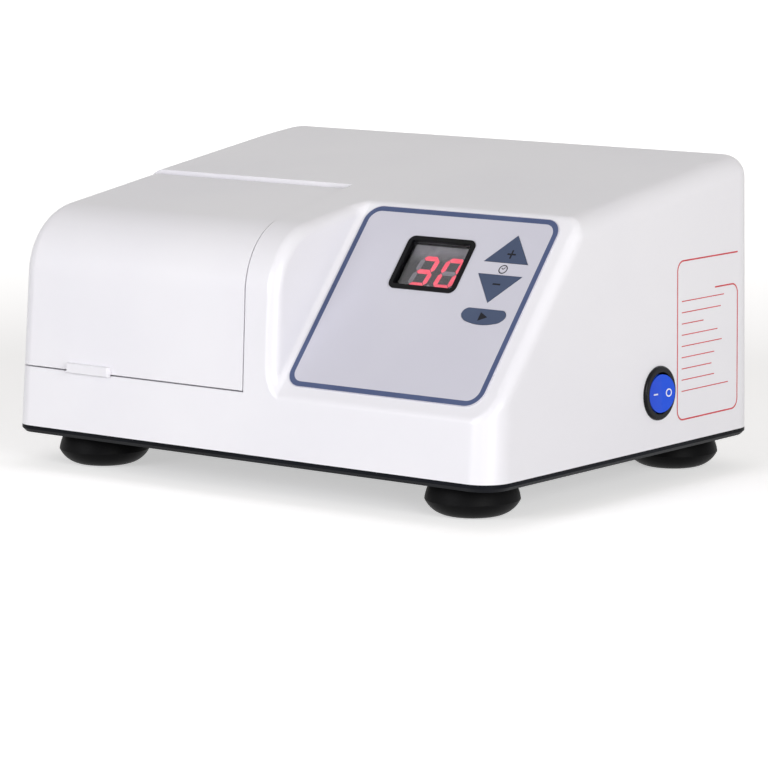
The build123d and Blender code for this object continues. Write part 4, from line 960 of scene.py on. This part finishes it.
@dataclass
class PowerSwitch(SubAssembly):
    """The round rocker switch on the right side: black ring, blue rocker and its white marks."""

    smooth: tuple[str, ...] = ("rocker_housing", "rocker")
    centre: Point = (119.8115, 20.0, 38.1)
    side_draft: float = 0.5
    tilt: float = 7.5
    valley: float = 3.0
    pivot_depth: float = 2.6
    face: float = 1.86
    mark_out: float = 0.03
    bar_place: float = -3.6
    bar_size: Spot = (0.55, 2.6)
    ring_place: float = 4.0
    ring_size: float = 3.3
    ring_stroke: float = 0.5

    def wing(self, turn: float) -> Plane:
        """Return one wing of the rocker as a plane through the valley between the wings.

        Args:
            turn: the wing's angle to the wall in degrees, at rest; positive leans the rear out.

        Returns:
            The wing's plane, with across to the rear and up along the pivot.
        """
        lean = math.radians(self.side_draft)
        out = np.array([math.cos(lean), 0.0, math.sin(lean)])
        up = np.array([-math.sin(lean), 0.0, math.cos(lean)])
        back = np.array([0.0, 1.0, 0.0])
        pivot = np.array(self.centre) - self.pivot_depth * out
        t = math.radians(self.tilt)
        valley = pivot + (self.pivot_depth + self.face) * (math.cos(t) * out - math.sin(t) * back)
        a = math.radians(turn)
        across = math.cos(a) * back + math.sin(a) * out
        return Plane(tuple(valley), tuple(across), tuple(up))

    def finishes(self) -> dict[str, Finish]:
        """Return the finishes of the switch's pieces."""
        return {
            # Gloss black nylon ring.
            "rocker_housing": Finish(
                "gloss_black_nylon", "0a0a0d", "101014", Surface.MOULDED,
                grain=3.0, relief=0.003, roughness=0.26, spread=0.04, specular=0.16,
            ),
            # Tinted polycarbonate rocker: saturated blue, clear gloss on top.
            "rocker": Finish(
                "gloss_blue_polycarbonate", "0838c8", "1450dc", Surface.MOULDED,
                grain=4.0, relief=0.003, roughness=0.22, spread=0.03, specular=0.3,
            ),
            "rocker_terminals": PIN_BRASS,
        }

    def build(self) -> None:
        """Dress the nodes, then set the white bar and ring into the rocker's two wings."""
        self.dress()
        # White marking ink, hot-stamped into the rocker.
        white = Finish(
            "stamped_white_ink", "f2f3f6", "e6e8ee", Surface.CAST,
            grain=0.4, relief=0.002, roughness=0.4, spread=0.05, drift=3.0,
        )
        rise = self.mark_out
        front = self.wing(self.tilt - self.valley)
        rear = self.wing(self.tilt + self.valley)
        bar = flat_plate(bar_outline(*self.bar_size, 90, (self.bar_place, 0.0)), rise, rise)
        circle, out = rounded_loop(self.ring_size, self.ring_size, self.ring_size / 2)
        middle = np.array([self.ring_place, 0.0])
        ring = ring_band(circle + middle, out, self.ring_stroke, rise, rise)
        self.add("off_mark", front, bar, white, "switch_rocker", "rocker_blue")
        self.add("on_mark", rear, ring, white, "switch_rocker", "rocker_blue")


@dataclass
class MainsInlet(SubAssembly):
    """The mains inlet at the back, with its pins, screws, fuse drawer and fuse."""

    def finishes(self) -> dict[str, Finish]:
        """Return the finishes of the inlet's pieces."""
        return {
            "mains_inlet": DARK_PLASTIC,
            "inlet_pins": PIN_BRASS,
            "inlet_screws": SCREW_STEEL,
            "fuse_drawer": DARK_PLASTIC,
            # Clear glass tube of the fuse between its caps.
            "fuse": Finish(
                "fuse_glass", "dfe5e6", "d3dadb", Surface.MOULDED,
                grain=3.0, relief=0.001, roughness=0.06, spread=0.02, transmission=0.6,
            ),
        }


@dataclass
class Motor(SubAssembly):
    """The universal motor, its fan and the bracket that holds it."""

    def finishes(self) -> dict[str, Finish]:
        """Return the finishes of the motor's pieces."""
        # Die-cast aluminium: pale grey with a faint, cloudy skin.
        cast = Finish(
            "die_cast_aluminium", "b6b7ba", "9fa0a4", Surface.CAST,
            grain=1.6, relief=0.02, roughness=0.42, spread=0.1, metallic=1.0,
        )
        # Sintered bronze: brown, porous and oily.
        bronze = Finish(
            "sintered_bronze", "9c7444", "80592f", Surface.GRAINED,
            grain=0.4, relief=0.01, roughness=0.38, spread=0.08, metallic=1.0,
        )
        return {
            "motor_stator": CORE_STEEL,
            "armature": CORE_STEEL,
            "field_coils": WINDING_COPPER,
            "motor_front_bell": cast,
            "motor_rear_bell": cast,
            "front_bush": bronze,
            "rear_bush": bronze,
            "motor_shaft": SHAFT_STEEL,
            # Turned copper segments.
            "commutator": Finish(
                "turned_copper", "c77a4e", "a35d35", Surface.BANDED,
                grain=0.6, relief=0.02, roughness=0.25, spread=0.08, metallic=1.0,
                along=(0.0, 1.7, 0.0),
            ),
            # Pressed carbon: dull, sooty grey.
            "carbon_brushes": Finish(
                "pressed_carbon", "232325", "2e2e31", Surface.GRAINED,
                grain=0.3, relief=0.01, roughness=0.6, spread=0.08,
            ),
            "cooling_fan": DARK_PLASTIC,
            # Zinc-plated steel sheet: pale grey with cloudy spangle.
            "motor_bracket": Finish(
                "zinc_plated_sheet", "a9abab", "8f9192", Surface.CAST,
                grain=4.0, relief=0.004, roughness=0.35, spread=0.08, metallic=1.0, drift=15.0,
            ),
        }


@dataclass
class MixingHead(SubAssembly):
    """The skew bush, its ball bearing, the arm with its capsule clip and the two springs."""

    smooth: tuple[str, ...] = ("mixing_arm", "capsule_clip", "restraint_springs")

    def finishes(self) -> dict[str, Finish]:
        """Return the finishes of the mixing head's pieces."""
        # Spring steel: a darker, hard grey gloss.
        spring = Finish(
            "tempered_spring_steel", "a8a9ac", "8d8e92", Surface.BRUSHED,
            grain=0.4, relief=0.003, roughness=0.24, spread=0.06, metallic=1.0,
            along=(1.0, 0.2, 1.0),
        )
        return {
            "skew_bush": SHAFT_STEEL,
            "bearing_inner_ring": SHAFT_STEEL,
            "bearing_balls": SHAFT_STEEL,
            "bearing_outer_ring": SHAFT_STEEL,
            # Machined aluminium: bright with fine cutter lines.
            "mixing_arm": Finish(
                "machined_aluminium", "c6c7c9", "b1b2b5", Surface.BRUSHED,
                grain=0.3, relief=0.005, roughness=0.3, spread=0.07, metallic=1.0,
                along=(0.1, 1.0, 1.0),
            ),
            "capsule_clip": spring,
            "restraint_springs": spring,
        }


# ---------------------------------------------------------------- studio
@dataclass(frozen=True)
class Lamp:
    """One large round lamp; its place and size are in metres and its power in watts."""

    name: str
    place: Point
    size: float
    power: float
    tint: str


@dataclass
class Studio:
    """Plain pale floor, soft lamps, white surroundings and the camera."""

    azimuth: float = 37.72
    elevation: float = 7.9
    target: Point = (1.0, 0.0, 56.0)
    distance: float = 1553.4
    lens: float = 180.4
    shift: Spot = (-0.0026, -0.0736)
    floor_half: float = 9.0
    ambient: float = 0.3
    ambient_tint: str = "fffaf6"
    lift: float = 0.5
    fade: Spot = (0.35, 1.3)
    mirror: float = 0.9
    paper: str = "f2f2f2"
    lamps: tuple[Lamp, ...] = (
        Lamp("lamp_front", (-0.45, -1.9, 0.5), size=1.2, power=17.0, tint="fafbff"),
        Lamp("lamp_right", (1.8, -0.95, 0.45), size=1.2, power=27.0, tint="ffffff"),
    )

    def either_ray(self, tree: Tree, first: str, second: str) -> Socket:
        """Return a socket that is one for either kind of ray, named as on the light path node."""
        rays = add_node(tree, "LightPath").outputs
        both = {0: rays[first], 1: rays[second]}
        return add_node(tree, "Math", {}, both, operation="MAXIMUM").outputs[0]

    def surroundings(self) -> None:
        """Make the world white where it is seen and softer where it lights the object."""
        world = bpy.data.worlds.new("studio")
        bpy.context.scene.world = world
        world.use_nodes = True
        tree = world.node_tree
        tree.nodes.clear()
        direct = self.either_ray(tree, "Is Camera Ray", "Is Transmission Ray")
        glossy = add_node(tree, "LightPath").outputs["Is Glossy Ray"]
        seen = add_node(tree, "Math", {}, {0: direct, 1: glossy}, operation="MAXIMUM").outputs[0]
        soft = {"Color": linear(self.ambient_tint), "Strength": self.ambient}
        light = add_node(tree, "Background", soft)
        white = add_node(tree, "Background", {"Color": WHITE, "Strength": 1.0})
        mix = add_node(tree, "MixShader", {}, {0: seen, 1: light.outputs[0], 2: white.outputs[0]})
        add_node(tree, "OutputWorld", {}, {"Surface": mix.outputs[0]})

    def floor(self) -> None:
        """Lay a pale floor that looks white where no shadow falls.

        Formula: diffuse paper plus a glow that rises with the distance from the object.
        Glossy rays see an even white, and from below the floor is clear.
        """
        corners = np.array([[-1, -1, 0], [1, -1, 0], [1, 1, 0], [-1, 1, 0]]) * self.floor_half
        mesh = bpy.data.meshes.new("floor")
        mesh.from_pydata(corners.tolist(), [], [(0, 1, 2, 3)])
        floor = link_object("floor", mesh)
        paper = bpy.data.materials.new("studio_paper")
        paper.use_nodes = True
        tree = paper.node_tree
        tree.nodes.clear()
        direct = self.either_ray(tree, "Is Camera Ray", "Is Transmission Ray")
        place = add_node(tree, "TexCoord").outputs["Object"]
        far = add_node(tree, "VectorMath", {}, {0: place}, operation="LENGTH").outputs["Value"]
        near_edge, far_edge = self.fade
        rise = {1: near_edge, 2: far_edge, 3: self.lift, 4: 1.0}
        glow = add_node(tree, "MapRange", rise, {0: far}).outputs[0]
        plain = add_node(tree, "BsdfDiffuse", {"Color": linear(self.paper)}).outputs[0]
        lift = add_node(tree, "Emission", {"Color": WHITE}, {"Strength": glow}).outputs[0]
        both = add_node(tree, "AddShader", {}, {0: plain, 1: lift}).outputs[0]
        looked = add_node(tree, "MixShader", {}, {0: direct, 1: plain, 2: both}).outputs[0]
        even = {"Color": WHITE, "Strength": self.mirror}
        mirrored = add_node(tree, "Emission", even).outputs[0]
        glossy = add_node(tree, "LightPath").outputs["Is Glossy Ray"]
        mix = add_node(tree, "MixShader", {}, {0: glossy, 1: looked, 2: mirrored}).outputs[0]
        clear = add_node(tree, "BsdfTransparent").outputs[0]
        under = add_node(tree, "NewGeometry").outputs["Backfacing"]
        side = add_node(tree, "MixShader", {}, {0: under, 1: mix, 2: clear})
        add_node(tree, "OutputMaterial", {}, {"Surface": side.outputs[0]})
        mesh.materials.append(paper)

    def light(self) -> None:
        """Hang the large soft lamps."""
        aim = Vector(self.target) * MM
        for lamp in self.lamps:
            data = bpy.data.lights.new(lamp.name, "AREA")
            data.shape = "DISK"
            data.size = lamp.size
            data.energy = lamp.power
            data.color = linear(lamp.tint)[:3]
            hung = link_object(lamp.name, data)
            hung.location = lamp.place
            hung.rotation_euler = (aim - hung.location).to_track_quat("-Z", "Y").to_euler()

    def camera(self) -> None:
        """Set the camera at its viewing angle."""
        a, e = math.radians(self.azimuth), math.radians(self.elevation)
        back = Vector((math.sin(a) * math.cos(e), -math.cos(a) * math.cos(e), math.sin(e)))
        data = bpy.data.cameras.new("camera")
        data.lens = self.lens
        data.sensor_width = 36.0
        data.shift_x, data.shift_y = self.shift
        data.clip_end = 50.0
        camera = link_object("camera", data)
        camera.location = (Vector(self.target) + back * self.distance) * MM
        camera.rotation_mode = "QUATERNION"
        camera.rotation_quaternion = (-back).to_track_quat("-Z", "Y")
        bpy.context.scene.camera = camera

    def build(self) -> None:
        """Put the whole studio together."""
        self.surroundings()
        self.floor()
        self.light()
        self.camera()
        bpy.context.scene.view_settings.view_transform = "Standard"
        LOG.info("studio ready")


def main() -> None:
    """Build every sub-assembly in order, then the studio."""
    logging.basicConfig(level=logging.INFO, format="%(name)s: %(message)s")
    groups = [
        Housing(), Feet(), Lid(), Chamber(), Panel(), Display(), Electronics(),
        PowerSwitch(), MainsInlet(), Motor(), MixingHead(),
    ]
    for group in groups:
        group.build()
    Studio().build()
    bpy.context.view_layer.update()


if __name__ == "__main__":
    main()
